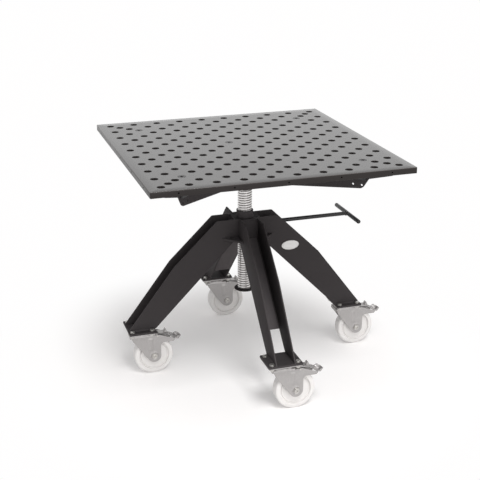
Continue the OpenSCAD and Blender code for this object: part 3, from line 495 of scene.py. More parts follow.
class Graph:
    """Node tree of one material or world."""

    def __init__(self, tree):
        self.tree = tree
        self.tree.nodes.clear()

    def node(self, kind, settings=None, inputs=None, out=0):
        """A node of that type: its settings are set first, then its sockets get values or links.
        Gives its output as a Value."""
        node = self.tree.nodes.new(kind)
        for name, value in (settings or {}).items():
            setattr(node, name, value)
        for key, value in (inputs or {}).items():
            socket = node.inputs[key]
            if isinstance(value, Value):
                self.tree.links.new(value.socket, socket)
            else:
                socket.default_value = value
        return Value(self, node.outputs[out]) if len(node.outputs) else None

    def place(self):
        """Object coordinates, in metres."""
        return self.node("ShaderNodeTexCoord", out=3)

    def noise(self, vector, scale, detail=2.0, rough=0.5):
        """Fractal noise around 0.5, with about scale blobs in a metre."""
        return self.node(
            "ShaderNodeTexNoise", None,
            {"Vector": vector, "Scale": scale, "Detail": detail, "Roughness": rough}
        )

    def streaks(self, vector, x, y, z, detail=2.0):
        """Noise with that many blobs in a metre along each axis, for marks that run one way."""
        stretched = self.node("ShaderNodeVectorMath", {"operation": "MULTIPLY"}, {0: vector, 1: (x, y, z)})
        return self.noise(stretched, 1.0, detail)

    def mix(self, factor, a, b):
        """Colour b over colour a by factor."""
        ends = {k: c if isinstance(c, Value) else (*c, 1.0) for k, c in ((6, a), (7, b))}
        return self.node("ShaderNodeMix", {"data_type": "RGBA"}, {0: factor, **ends}, out=2)

    def shade(self, rgb, value):
        """The colour times a value."""
        return self.node("ShaderNodeVectorMath", {"operation": "SCALE"}, {0: rgb, 3: value})

    def bump(self, height, strength, distance):
        """Normal bent by a height field."""
        return self.node(
            "ShaderNodeBump", None, {"Strength": strength, "Distance": distance, "Height": height}
        )

    def axes(self, vector):
        """The three numbers of a vector."""
        return [self.node("ShaderNodeSeparateXYZ", None, {0: vector}, out=k) for k in range(3)]

    def edges(self):
        """1 on outer edges, which the finishes make lighter: as wear, and on the coat also as a painted
        highlight. It is the mesh's convexity, stretched over its middle.
        """
        return self.node("ShaderNodeNewGeometry", out=7).step(0.52, 0.62)

    def surface(self, base, rough, metallic, normal, coat=0.0, gloss=0.5):
        """Ends the graph in a principled shader. gloss is how strongly its surface mirrors, and
        coat the weight of the clear layer over it."""
        shader = self.node("ShaderNodeBsdfPrincipled", None, {
            "Base Color": base, "Roughness": rough, "Metallic": metallic, "Normal": normal,
            "Coat Weight": coat, "Coat Roughness": 0.15, "Specular IOR Level": gloss
        })
        self.node("ShaderNodeOutputMaterial", None, {"Surface": shader})


def scaled(c, k):
    """A plain colour times a number."""
    return tuple(min(1.0, x * k) for x in c)


def finish_plate(g, p, look):
    """Ground steel, blackened: fine speckle, faint marks of the grinding along Y, and cloudy
    tone; the top's outer edge is rubbed brighter, and its face carries a film of oil."""
    speckle = g.noise(p, 700.0, 2.0, 0.7)
    cloud = g.noise(p, 5.0, 4.0, 0.6)
    grind = g.streaks(p, 900.0, 12.0, 900.0)
    tone = 0.72 + speckle * 0.30 + cloud * 0.16 + grind * 0.10
    x, y, z = g.axes(p)
    lighter_edges = (x * x).largest(y * y).step(0.2484, 0.2496) * z.step(-0.0020, -0.0010)
    base = g.mix(lighter_edges * 0.7, g.shade(look.plate, tone), scaled(look.plate, 4.0))
    rough = 0.20 + cloud * 0.06 + speckle * 0.08
    oiled = z.step(-0.0008, -0.0002) * 0.76
    g.surface(base, rough, 0.0, g.bump(speckle + grind * 0.5, 0.25, 0.0002), oiled, 0.15)


def finish_coat(g, p, look):
    """Powder coat: orange peel, a little uneven gloss, and paler edges: partly coat rubbed thin, partly a
    painted highlight of the cut edges.
    """
    peel = g.noise(p, 420.0)
    cloud = g.noise(p, 9.0, 3.0, 0.6)
    # Lighter edges: partly coat rubbed thin, partly a painted highlight where the cut edges catch light
    lighter_edges = g.edges() * (0.25 + cloud * 0.35)
    base = g.mix(lighter_edges, g.shade(look.coat, 0.86 + peel * 0.16 + cloud * 0.14), scaled(look.coat, 3.0))
    g.surface(base, 0.50 + cloud * 0.12, 0.0, g.bump(peel, 0.18, 0.0004), gloss=0.03)


def finish_spindle(g, p, look):
    """Rolled thread: bright crest, and a root painted darker as shade in the groove, told apart by
    the distance from the spindle's axis, with marks that run round it."""
    x, y, _ = g.axes(p)
    crest = (x * x + y * y).power(0.5).step(0.0250, 0.0284)
    marks = g.streaks(p, 30.0, 30.0, 2500.0)
    oil = g.noise(p, 60.0, 3.0, 0.6)
    bright = g.shade(look.spindle, 0.82 + marks * 0.28)
    # The root's darker colour is painted shade in the thread's groove
    dark = g.shade(look.groove, 0.6 + oil * 0.8)
    rough = 0.46 - crest * 0.20 + oil * 0.08
    g.surface(g.mix(crest, dark, bright), rough, 0.9, g.bump(marks, 0.10, 0.0001))


def finish_blackened(g, p, look):
    """Blackened steel: thin dark oxide with a dull bloom, rubbed bright on the edges."""
    bloom = g.noise(p, 40.0, 4.0, 0.65)
    grain = g.noise(p, 900.0)
    lighter_edges = g.edges() * (0.3 + bloom * 0.5)
    oxide = g.shade(look.blackened, 0.7 + bloom * 0.5 + grain * 0.2)
    base = g.mix(lighter_edges, oxide, (0.16, 0.155, 0.15))
    g.surface(base, 0.30 + bloom * 0.16, 0.6, g.bump(grain, 0.10, 0.0001))


def finish_bright(g, p, look):
    """Zinc-plated fasteners: bright, with faint yellow passivation clouds and tool marks."""
    cloud = g.noise(p, 90.0, 3.0, 0.6)
    marks = g.streaks(p, 900.0, 900.0, 200.0)
    tone = 0.84 + cloud * 0.20 + marks * 0.10
    base = g.shade(g.mix(cloud * 0.25, look.bright, (0.62, 0.58, 0.46)), tone)
    g.surface(base, 0.24 + marks * 0.14, 0.85, g.bump(marks, 0.08, 0.0001))


def finish_zinc(g, p, look):
    """Zinc-plated pressed sheet: satin grey with a fine spangle and drawn streaks."""
    spangle = g.node("ShaderNodeTexVoronoi", {"feature": "F1"}, {"Vector": p, "Scale": 210.0})
    cloud = g.noise(p, 30.0, 4.0, 0.6)
    drawn = g.streaks(p, 500.0, 500.0, 25.0)
    tone = 0.84 + spangle * 0.10 + cloud * 0.16 + drawn * 0.08
    base = g.mix(g.edges() * 0.4, g.shade(look.zinc, tone), scaled(look.zinc, 1.5))
    g.surface(base, 0.36 + cloud * 0.12, 0.7, g.bump(drawn + spangle * 0.5, 0.08, 0.0002))


def finish_nylon(g, p, look):
    """Cast nylon: milky, faintly mottled, with fine turning marks, and darker in its lowest 35 mm, next to
    the floor.
    """
    mottle = g.noise(p, 45.0, 3.0, 0.6)
    fine = g.noise(p, 1200.0)
    # Darker towards the bottom, within 35 mm of the floor
    darker_at_bottom = (1.0 - g.axes(p)[2].step(-0.935, -0.90)) * 0.16
    base = g.mix(darker_at_bottom, g.shade(look.nylon, 0.93 + mottle * 0.10 + fine * 0.04), scaled(look.nylon, 0.6))
    g.surface(base, 0.42 + mottle * 0.10, 0.0, g.bump(fine, 0.06, 0.0001), coat=0.05)


def finish_badge(g, p, look):
    """Bare badge: satin brushed face, brushed along its length."""
    brushed = g.streaks(p, 60.0, 60.0, 2500.0, 3.0)
    base = g.shade(look.badge, 0.86 + brushed * 0.16 + g.noise(p, 70.0) * 0.10)
    g.surface(base, 0.36 + brushed * 0.12, 0.25, g.bump(brushed, 0.05, 0.0001))


def finish_brass(g, p, look):
    """Turned brass with fine rings and a dull film."""
    rings = g.streaks(p, 2500.0, 60.0, 60.0)
    film = g.noise(p, 120.0, 3.0)
    base = g.shade(look.brass, 0.75 + film * 0.3 + rings * 0.1)
    g.surface(base, 0.30 + film * 0.15, 0.9, g.bump(rings, 0.08, 0.0001))


FINISHES = {
    "plate": finish_plate, "black_coat": finish_coat, "spindle": finish_spindle,
    "blackened": finish_blackened, "fasteners": finish_bright, "pad": finish_brass,
    "badge": finish_badge, "zinc": finish_zinc, "nylon": finish_nylon, "bush": finish_bright,
}


def finish_of(slot):
    """The material of a finish, made when it is first asked for."""
    name = "finish_" + slot
    material = bpy.data.materials.get(name)
    if material is None:
        material = bpy.data.materials.new(name)
        material.use_nodes = True
        g = Graph(material.node_tree)
        FINISHES[slot](g, g.place(), bpy.context.scene.wt_finishes)
    return material


def box(node):
    """Lowest and highest corner of a CAD node as arrays."""
    return np.array(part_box(node))


def bore_centres(pitch):
    """Centres of the through bores and of the screws. The bores stand on a ten by ten grid and
    on a nine by nine grid between it; four bores of the first grid and one near the middle
    hold screws, and each corner of the second grid has a pair of bores instead of one."""
    def square(rows):
        return np.stack(np.meshgrid(rows, rows, indexing="ij"), axis=-1).reshape(-1, 2)
    rows = (np.arange(10) - 4.5) * pitch
    a, b = square(rows), square(rows[:-1] + pitch / 2)
    on_screw = (np.abs(np.abs(a) - 3.5 * pitch) < pitch / 4).all(1)
    on_screw |= (np.abs(a - [-pitch / 2, pitch / 2]) < pitch / 4).all(1)
    corner = (np.abs(np.abs(b) - 4 * pitch) < pitch / 4).all(1)
    pairs = np.vstack([b[corner] + s * np.sign(b[corner]) * pitch / 6 for s in (-1, 1)])
    return np.vstack([a[~on_screw], b[~corner], pairs]), a[on_screw]


class WT_OT_work_plate(bpy.types.Operator):
    """Perforated plate with chamfered bores, rounded edges and threaded edge holes"""
    bl_idname = "work_table.work_plate"
    bl_label = "Work plate"

    def execute(self, context):
        s = context.scene.wt_plate
        low, high = box("table_plate")
        top, bottom = high[2], low[2]
        bores, screws = bore_centres(s.pitch)
        r, c, n, play = s.bore / 2, s.chamfer, 40, 0.2 * MM
        shells = Shells()
        edge_loop = round_box(*low[:2], *high[:2], s.corner)
        flat = inset(edge_loop, s.edge)
        screw_top, screw_low = s.head / 2 + play, s.shank / 2 + play
        cone = (s.head - s.shank) / 2
        for z, screw_r in ((top, screw_top + c / 2), (bottom, screw_low + c / 2)):
            loops = [flat] + [circle(x, y, r + c, n)[::-1] for x, y in bores]
            loops += [circle(x, y, screw_r, n)[::-1] for x, y in screws]
            verts, faces = between(loops)
            shells.add(np.c_[verts, np.full(len(verts), z)], faces)
        self.rim(shells, edge_loop, top, bottom, s)
        wall = [(r + c, top), (r, top - c), (r, bottom + c), (r + c, bottom)]
        seat = [
            (screw_top + c / 2, top), (screw_top, top - c / 2), (screw_low, top - cone - c / 2),
            (screw_low, bottom + c / 2), (screw_low + c / 2, bottom)
        ]
        for profile, centres in ((wall, bores), (seat, screws)):
            for x, y in centres:
                shells.at(x, y).turned(profile, n)
        shells.piece("work_plate", "plate", "table_plate")
        return {"FINISHED"}

    def rim(self, shells, edge_loop, top, bottom, s):
        """Quarter rounds along the upper and lower edge; then for each side an upright corner and
        a panel, bored for the edge holes."""
        for z, sign in ((top, -1), (bottom, 1)):
            rows = [
                np.c_[inset(edge_loop, d), np.full(len(edge_loop), z + sign * h)] for d, h in s.edge * EASE
            ]
            shells.grid(np.stack(rows), False, True)
        corner = edge_loop[:len(edge_loop) // 4]
        x, y = corner[-1]
        z_low, z_high = bottom + s.edge, top - s.edge
        mid = (z_low + z_high) / 2
        bore, c = s.thread / 2, 0.4 * MM
        profile = [(bore + c, 0), (bore, -c), (bore, MM - s.thread_depth), (0, -s.thread_depth)]
        holes = (np.arange(5) - 2) * 2 * s.pitch
        panel = np.array([[y, z_low], [-y, z_low], [-y, z_high], [y, z_high]])
        verts, faces = between([panel] + [circle(u, mid, bore + c, 24)[::-1] for u in holes])
        for angle in QUARTERS:
            shells.at(angle=angle)
            shells.grid(np.stack([np.c_[corner, np.full(len(corner), z)] for z in (z_low, z_high)]))
            shells.add(np.c_[np.full(len(verts), x), verts], faces)
            for u in holes:
                shells.at(x, u, mid, angle).turned(profile, 24, "X")


class WT_OT_plate_screws(bpy.types.Operator):
    """Five countersunk screws with hexagon sockets, level with the plate"""
    bl_idname = "work_table.plate_screws"
    bl_label = "Plate screws"

    def execute(self, context):
        s = context.scene.wt_plate
        low, pad_low = box("plate_screws")[0][2], box("centre_pad")[0][2]
        r, shank, e = s.head / 2, s.shank / 2, 0.3 * MM
        shells = Shells()
        for x, y in bore_centres(s.pitch)[1]:
            end = low if abs(x) > s.pitch else pad_low
            rest = [
                (r - e, 0), (r, -e), (r, -1.2 * MM), (shank, shank - r - MM), (shank, end + MM),
                (shank - MM, end), (0, end)
            ]
            shells.at(x, y).socket_head(s.socket, -s.socket_depth, 0, 1.5, rest)
        shells.piece("plate_screw_set", "blackened", "plate_screws")
        return {"FINISHED"}


class WT_OT_ribs(bpy.types.Operator):
    """Four upright ribs with their heels, windows and nuts"""
    bl_idname = "work_table.ribs"
    bl_label = "Ribs"

    def execute(self, context):
        pad_low, pad_high = box("centre_pad")
        top, under = pad_high[2], pad_low[2]
        pad_r = pad_high[0] * math.sqrt(2)
        low, high = box("rib_nuts")[:, 2]
        screw_r = 3.5 * context.scene.wt_plate.pitch * math.sqrt(2)
        t, start, end = 6 * MM, 0.105, box("rib_back_right")[1][0] * math.sqrt(2)
        heel = end - 0.122

        def line(r):
            """Height of the lower edge: it rises by a tenth of the distance from the spindle."""
            return 0.1 * r - 0.160
        outline = rounded([
            (start, under), (pad_r, under), (pad_r, top), (end, top), (end, -0.045), (end - 0.092, -0.070),
            (heel + 0.009, line(heel) + 0.006), (heel, line(heel)), (start, line(start))
        ], 2 * MM)
        window = round_box(screw_r - 0.0185, low - 0.5 * MM, screw_r + 0.0185, high + 0.5 * MM, MM, 3)
        slit = round_box(screw_r - 0.0085, high + 1.5 * MM, screw_r + 0.0085, top - 2 * MM, 0.4 * MM, 3)
        cuts = [window, slit] + [circle(end - x, -0.0975, 0.00425, 24) for x in (0.120, 0.155)]
        nuts = Shells()
        nut = round_box(screw_r - 0.018, -0.013, screw_r + 0.018, 0.013, 1.5 * MM)
        bore = circle(screw_r, 0, 8.2 * MM, 32)
        for quarter, name in zip(QUARTERS, ("back_right", "back_left", "front_left", "front_right")):
            shells = Shells().at(angle=quarter + 45)
            shells.sheet(outline, cuts, t, context.scene.wt_frame.cut_edge, plane("Y", -t / 2))
            shells.piece(f"rib_sheet_{name}", "black_coat", f"rib_{name}")
            nuts.at(angle=quarter + 45).sheet(nut, [bore], high - low, 0.6 * MM, plane("Z", low))
        nuts.piece("rib_nut_set", "blackened", "rib_nuts")
        return {"FINISHED"}


class WT_OT_spindle(bpy.types.Operator):
    """Spindle with its trapezoidal thread"""
    bl_idname = "work_table.spindle"
    bl_label = "Spindle"

    def execute(self, context):
        s = context.scene.wt_spindle
        (r, _, end), bottom = box("spindle")[1], box("spindle")[0][2]
        top = box("tilt_head")[0][2] - 0.1 * MM
        n, per_turn = 72, 12
        # Corners of one turn's profile: root, flank, crest, flank, each as a share of the pitch
        crest = (1 - s.crest) / 2
        share_at = np.array([0, s.root / 2, crest, 1 - crest, 1 - s.root / 2, 1])
        depth_at = np.array([1, 1, 0, 0, 1, 1])
        fraction = np.unique(np.r_[share_at[:-1], np.linspace(0, 1, per_turn, endpoint=False)])
        turns = math.ceil((top - bottom) / s.pitch) + 2
        rise = (np.arange(turns)[:, None] + fraction).ravel()[:, None] - 1
        a = np.arange(n + 1) * TURN / n
        z = bottom + (rise + a / TURN) * s.pitch
        # The thread runs out over a chamfer at both ends
        end_r = r - s.depth - 0.4 * MM
        radius = r - s.depth * np.interp(rise % 1 + 0 * a, share_at, depth_at)
        radius = np.minimum(radius, end_r + np.minimum(z - bottom, top - z) * 1.4)
        radius = np.where((z <= bottom) | (z >= top), end_r, radius)
        z = np.clip(z, bottom, top)
        shells = Shells()
        shells.grid(np.stack([radius * np.cos(a), radius * np.sin(a), z], axis=-1))
        hole, spigot = 8.1 * MM, 15 * MM
        shells.turned(
            [(end_r, bottom), (hole, bottom), (hole, bottom + 0.032), (0, bottom + 0.035)], n=n
        )
        shells.turned(
            [(end_r, top), (spigot, top), (spigot, end - MM), (spigot - MM, end), (0, end)], n=n
        )
        shells.piece("spindle_thread", "spindle", "spindle")
        return {"FINISHED"}


class WT_OT_spindle_nut(bpy.types.Operator):
    """Nut that carries the spindle, with a chamfered collar, and the stop below"""
    bl_idname = "work_table.spindle_nut"
    bl_label = "Spindle nut"

    def execute(self, context):
        low, high = box("spindle_nut")[:, 2]
        r, inner, c = box("spindle_nut")[1][0], box("spindle")[1][0] + 0.15 * MM, 1.5 * MM
        shells = Shells()
        shells.turned([
            (inner, low), (r - c, low), (r, low + c), (r, high - c), (r - c / 2, high - c / 4),
            (r - c, high), (inner + c, high), (inner, high - c)
        ], 96, closed=True)
        shells.piece("nut_collar", "black_coat", "spindle_nut")
        (_, _, low), (r, _, high) = box("stop_disc")
        shells = Shells()
        shells.ring(8.2 * MM, r, low, high, 0.7 * MM, 96)
        shells.piece("stop_washer", "black_coat", "stop_disc")
        low, high = box("stop_screw")[:, 2]
        seat = low + 10 * MM
        shells = Shells()
        shells.hex_head(24 * MM, seat, low)
        shells.rod(16 * MM, seat - MM, high, MM)
        shells.piece("stop_bolt", "fasteners", "stop_screw")
        return {"FINISHED"}


class WT_OT_clamp(bpy.types.Operator):
    """Clamp screw with its T-handle, the weld between them, and its boss"""
    bl_idname = "work_table.clamp"
    bl_label = "Clamp"

    def execute(self, context):
        low, high = box("clamp_rod")
        handle_low, handle_high = box("clamp_handle")
        z, handle_x = (low[2] + high[2]) / 2, (handle_low[0] + handle_high[0]) / 2
        r, handle_d = (high[2] - low[2]) / 2, handle_high[2] - handle_low[2]
        near = handle_x - handle_d / 2
        shells = Shells().at(z=z)
        # Threaded length near the hub: ridges 2 mm apart on the rod, fading before the plain part
        x = np.arange(low[0], 0.16, 0.5 * MM)
        fade = np.clip((0.15 - x) / 0.01, 0, 1)
        ridge = r - 0.5 * MM * fade * (0.5 - 0.5 * np.cos(x / (2 * MM) * TURN))
        end = [(r, 0.165), (r, near - MM), (r - MM, handle_x - 0.3 * MM), (0, handle_x)]
        shells.turned([(0, low[0]), *zip(ridge, x), *end], 40, "X")
        saddle = [
            (r + 3 * MM, near + 1.5 * MM), (r + 1.5 * MM, near - MM), (r - MM, near - 3.2 * MM),
            (r - MM, handle_x - 2 * MM)
        ]
        shells.turned(saddle, 40, "X", True, lambda r, a: r * (1 + 0.02 * np.cos(a * 14)))
        shells.piece("clamp_screw_rod", "blackened", "clamp_rod")
        shells = Shells().at(handle_x, z=z)
        shells.rod(handle_d, handle_low[1], handle_high[1], 5 * MM, "Y")
        shells.piece("clamp_t_handle", "blackened", "clamp_handle")
        (start, _, low), (end, _, high) = box("clamp_boss")
        boss_r, inner, e = (high - low) / 2, r + 0.3 * MM, 2 * MM
        shells = Shells().at(z=z)
        shells.turned([
            (inner, start), (boss_r, start), (boss_r, end - e), (boss_r - e, end), (inner + MM, end),
            (inner, end - MM)
        ], 64, "X", True)
        shells.piece("clamp_boss_ring", "black_coat", "clamp_boss")
        return {"FINISHED"}


class WT_OT_hub(bpy.types.Operator):
    """Welded hub: cross plates, gussets and walls, with their weld fillets"""
    bl_idname = "work_table.hub"
    bl_label = "Hub"

    def execute(self, context):
        edge = context.scene.wt_frame.cut_edge
        collar = box("spindle_nut")[1][0]
        for name in ("hub_top_plate", "hub_bottom_plate"):
            (_, _, low), (reach, _, high) = box(name)
            arm = [(reach, -HUB_HALF), (reach, HUB_HALF), (HUB_HALF, HUB_HALF)]
            cross = rounded(np.vstack([turn_points(arm, angle) for angle in QUARTERS]), 0.5 * MM)
            shells = Shells()
            hole = circle(0, 0, collar + 0.2 * MM, 72)
            shells.sheet(cross, [hole], high - low, edge, plane("Z", low))
            shells.piece(name + "_sheet", "black_coat", name)
        (_, _, low), (reach, _, high) = box("hub_gussets")
        shells = Shells()
        gusset = rounded([(LEG_HALF, LEG_HALF), (reach, LEG_HALF), (LEG_HALF, reach)], 1.5 * MM)
        for angle in QUARTERS:
            shells.at(angle=angle).sheet(gusset, [], high - low, edge, plane("Z", low))
        shells.piece("hub_gusset_set", "black_coat", "hub_gussets")
        self.walls(context.scene.wt_frame, collar)
        return {"FINISHED"}

    def walls(self, s, collar):
        """Upright walls between the hub's two plates, with a fillet up each inside corner and a
        ring of weld round the collar."""
        (_, _, low), (reach, _, high) = box("hub_walls")
        boss_low, boss_high = box("clamp_boss")[:, 2]
        boss = circle(0, (boss_low + boss_high) / 2, (boss_high - boss_low) / 2 + 0.3 * MM, 40)
        wall = [(-HUB_HALF, low), (HUB_HALF, low), (HUB_HALF, high), (-HUB_HALF, high)]
        shells = Shells()
        for angle in QUARTERS:
            holes = [] if angle else [boss]
            shells.at(angle=angle).sheet(wall, holes, SHEET, s.cut_edge, plane("X", reach - SHEET))
            for side in (-1, 1):
                path = [(reach, side * HUB_HALF, z) for z in (low + MM, high - MM)]
                shells.weld(path, [(1, 0, 0), (0, -side, 0)])
        deck = box("hub_top_plate")[1][2]
        foot = deck - 0.2 * MM
        ring = [
            (collar - MM, foot), (collar + s.weld, foot), (collar + s.weld, deck + 0.5 * MM),
            (collar + 0.45 * s.weld, deck + 0.55 * s.weld), (collar - MM, deck + s.weld)
        ]
        ripples = round(TURN * collar / s.weld_step)
        shells.at().turned(
            ring, 4 * ripples, closed=True,
            shape=lambda r, a: r + 0.12 * s.weld * np.abs(np.sin(a * ripples / 2)) * (r > collar)
        )
        shells.piece("hub_wall_set", "black_coat", "hub_walls")


class WT_OT_legs(bpy.types.Operator):
    """Four legs of two side sheets each, with their webs and weld fillets"""
    bl_idname = "work_table.legs"
    bl_label = "Legs"

    def execute(self, context):
        edge = context.scene.wt_frame.cut_edge
        (_, _, foot), (out, _, top) = box("leg_sides_right")
        hub_low = box("hub_bottom_plate")[1][2]
        # Side sheet in distance from the spindle and height: hub, knee, foot and back to the hub
        inner, start = (out - 0.112, foot), (LEG_HALF, hub_low)
        outline = [(LEG_HALF, top), (0.129, top), (out - 0.194, top - 0.176), (out, foot), inner, start]
        # The left sheet of each leg reaches over the edge of the next one's
        longer = [(HUB_HALF, top), *outline[1:], (HUB_HALF, hub_low)]
        for angle, name in zip(QUARTERS, SIDES):
            shells = Shells().at(angle=angle)
            for side, points, y in ((-1, outline, -LEG_HALF), (1, longer, HUB_HALF)):
                shells.sheet(rounded(points, 3 * MM, 3), [], SHEET, edge, plane("Y", y))
                path = [(x, side * LEG_HALF, foot) for x in (inner[0] + 4 * MM, out - 4 * MM)]
                shells.weld(path, [(0, side, 0), (0, 0, 1)])
            shells.piece(f"leg_sheets_{name}", "black_coat", f"leg_sides_{name}")
        self.webs(np.array(inner), np.array(start))
        return {"FINISHED"}

    def webs(self, foot, start):
        """Webs along the inner edges, from the hub's bottom plate down. Their section is a strip
        of the web's thickness along the line between the side sheets' two inner corners."""
        along = (foot - start) / np.linalg.norm(foot - start)
        out = np.array([-along[1], along[0]])
        levels = (box("hub_bottom_plate")[0][2], box("leg_webs")[0][2])
        top, end = [start + along * (z - start[1]) / along[1] for z in levels]
        end_out = end + out * SHEET
        top_out = top - along * SHEET * out[1] / along[1] + out * SHEET
        shells = Shells()
        for angle in QUARTERS:
            shells.at(angle=angle)
            shells.sheet([top, end, end_out, top_out], [], 2 * HUB_HALF, 0.4 * MM, plane("Y", -HUB_HALF))
            for side in (-1, 1):
                ends = (top_out + along * 2 * MM, end_out - along * 3 * MM)
                path = [(x, side * HUB_HALF, z) for x, z in ends]
                shells.weld(path, [(out[0], 0, out[1]), (0, -side, 0)], 0.8)
        shells.piece("leg_web_set", "black_coat", "leg_webs")


class WT_OT_feet(bpy.types.Operator):
    """Foot plates with their bolts, washers and nuts"""
    bl_idname = "work_table.feet"
    bl_label = "Feet"

    def execute(self, context):
        (x0, y0, low), (x1, y1, top) = box("foot_plate_right")
        plate = round_box(x0, y0, x1, y1, 3 * MM)
        spots = [(x0 + x1) / 2, 0] + CORNERS * BOLT_GAPS
        holes = [circle(x, y, BOLT_HOLE, 24) for x, y in spots]
        bolt_low, bolt_high = box("foot_bolts")[:, 2]
        under = box("caster_plates")[1][2] - SHEET
        bolts = Shells()
        for angle, name in zip(QUARTERS, SIDES):
            shells = Shells().at(angle=angle)
            shells.sheet(plate, holes, top - low, 0.9 * MM, plane("Z", low))
            shells.piece(f"foot_sheet_{name}", "black_coat", f"foot_plate_{name}")
            # Each hole has a hexagon bolt with a washer, its eased end and a nut
            for x, y in turn_points(spots, angle):
                bolts.at(x, y).hex_head(16.4 * MM, top + 1.2 * MM, bolt_high)
                bolts.ring(5 * MM, 9.4 * MM, top, top + 1.4 * MM, 0.3 * MM, 36)
                bolts.rod(9.8 * MM, bolt_low, top + 2 * MM, 1.2 * MM)
                bolts.hex_head(16.8 * MM, under, under - 8 * MM)
        bolts.piece("foot_bolt_set", "fasteners", "foot_bolts")
        return {"FINISHED"}


class WT_OT_badge(bpy.types.Operator):
    """Bare oval badge with a raised rim and two rivets"""
    bl_idname = "work_table.badge"
    bl_label = "Badge"

    def execute(self, context):
        low, high = box("badge")
        centre, half = (low + high) / 2, (high - low) / 2
        thick = 2 * half[1]
        # Rows from the back's middle round the rim to the slightly domed face: share of the
        # oval's size, and height over the back
        rows = np.array([
            (0, 0), (1, 0), (1, 0.55), (0.985, 0.85), (0.955, 1.0), (0.925, 0.85), (0.905, 0.55),
            (0.7, 0.60), (0.4, 0.66), (0, 0.68)
        ])
        a = (np.arange(96) * TURN / 96)[None]
        share_in, height = rows.T[:, :, None]
        shrink = half[[0, 2]].min() * (1 - share_in)
        x = (half[0] - shrink) * np.cos(a) * (share_in > 0)
        z = (half[2] - shrink) * np.sin(a) * (share_in > 0)
        shells = Shells().at(centre[0], high[1], centre[2])
        shells.grid(np.stack([x, -thick * height + 0 * a, z], axis=-1), False, True)
        dome = np.radians(np.linspace(0, 90, 5))
        rivet = np.vstack([(0, 0.4 * MM), np.c_[2.4 * MM * np.cos(dome), -1.1 * MM * np.sin(dome)]])
        for side in (-1, 1):
            shells.at(centre[0] + side * (half[0] - 9 * MM), high[1] - 0.6 * thick, centre[2])
            shells.turned(rivet, 24, "Y")
        shells.piece("badge_plate", "badge", "badge")
        return {"FINISHED"}


def caster_at(side):
    """Where a caster's kingpin meets the fork's crown, and the axle's height below it."""
    x, y, z = box(f"wheel_{side}").sum(0) / 2
    crown = box(f"fork_{side}")[1][2] - RACE
    return (x - TRAIL, y, crown), crown - z


class WT_OT_caster_plates(bpy.types.Operator):
    """Top plates of the casters with the swivels' upper races"""
    bl_idname = "work_table.caster_plates"
    bl_label = "Caster plates"

    def execute(self, context):
        race_low, top = box("caster_plates")[:, 2]
        radius, w, d = caster_at("right")[0][0], 52.5 * MM, 67.5 * MM
        plate = round_box(radius - w, -d, radius + w, d, 6 * MM)
        holes = [circle(x, y, BOLT_HOLE, 24) for x, y in [radius, 0] + CORNERS * BOLT_GAPS]
        under = top - SHEET
        shells = Shells()
        for angle in QUARTERS:
            shells.at(angle=angle).sheet(plate, holes, SHEET, 0.8 * MM, plane("Z", under))
            shells.at(radius, angle=angle).race(under - 0.2 * MM, race_low, 33 * MM)
        shells.piece("caster_plate_set", "zinc", "caster_plates")
        return {"FINISHED"}


class WT_OT_forks(bpy.types.Operator):
    """Forks bent from one sheet, with pressed beads, boss rings and the lower races"""
    bl_idname = "work_table.forks"
    bl_label = "Forks"

    def execute(self, context):
        for side in SIDES:
            at, drop = caster_at(side)
            shells = Shells().at(*at)
            self.fork(shells, drop, context.scene.wt_casters)
            shells.piece(f"fork_sheet_{side}", "zinc", f"fork_{side}")
        return {"FINISHED"}

    def fork(self, shells, drop, s):
        """Fork from its crown down to an axle at that drop."""
        t, bend = CASTER_SHEET, s.bend
        flat, quarter = FORK_HALF - bend, bend * math.pi / 2
        end_r = 27.5 * MM

        def developed(depth):
            """Distance from the fold pattern's middle line to a depth below the crown."""
            return flat + quarter + depth - bend
        # One cheek from the crown's front corner round the axle to the wing and its tip
        shoulder, axle = mm(-36, 22), np.array([TRAIL, drop])
        to_axle = axle - shoulder
        reach = np.linalg.norm(to_axle)
        angle = math.atan2(to_axle[1], to_axle[0]) + math.asin(end_r / reach)
        touch = shoulder + math.sqrt(reach ** 2 - end_r ** 2) * np.array([math.cos(angle), math.sin(angle)])
        start = math.degrees(math.atan2(*(touch - axle)[::-1]))
        hollow, neck = 14 * MM, 45 * MM
        cheek = np.vstack([
            shoulder, arc(TRAIL, drop, end_r, start, 0, 14),
            arc(TRAIL + end_r + hollow, 54 * MM, hollow, 180, 270, 8),
            mm((134, 40), (142, 31)), (60 * MM + bend * 82 / 31, bend)
        ])
        cheek[:, 1] = developed(cheek[:, 1])
        upper = np.vstack([(-neck, flat), cheek, (neck, flat + quarter), (neck, flat)])
        outline = rounded(np.vstack([upper, (upper * [1, -1])[::-1]]), 1.5 * MM, 3)
        holes = [circle(TRAIL, sign * developed(drop), 6.1 * MM, 24) for sign in (-1, 1)]
        holes.append(circle(0, 0, KINGPIN_HOLE, 36))

        def place(u, v, w):
            """Bends the pattern: flat crown, quarter round of the bend's radius, then straight
            down. Beads are pressed outwards as smooth bumps of the distance from a line or ring."""
            across = np.abs(v)
            turn = np.clip((across - flat) / bend, 0, math.pi / 2)
            down = np.maximum(across - flat - quarter, 0)
            depth = down + bend
            bead = hill(u, 26, 30, 44, 48) * hill(depth, 14, 22, 66, 74)
            ring = bump(np.hypot(u - TRAIL, depth - drop) - 16.5 * MM, 4.5 * MM)
            r = bend + w - t + s.pressing * np.maximum(bead, ring) * (down > 0)
            y = np.minimum(across, flat) + r * np.sin(turn)
            return np.stack([u, np.sign(v) * y, r * np.cos(turn) - depth], axis=-1)
        shells.sheet(outline, holes, t, 0.8 * MM, place, 3 * MM)
        # Lip at the crown's front, between the cheeks
        lip = round_box(-26 * MM, -14 * MM, 26 * MM, 0.5 * MM - t, 3 * MM)
        shells.sheet(lip, [], t, 0.8 * MM, plane("X", -neck))
        shells.race(-0.3 * MM, RACE, 31 * MM)


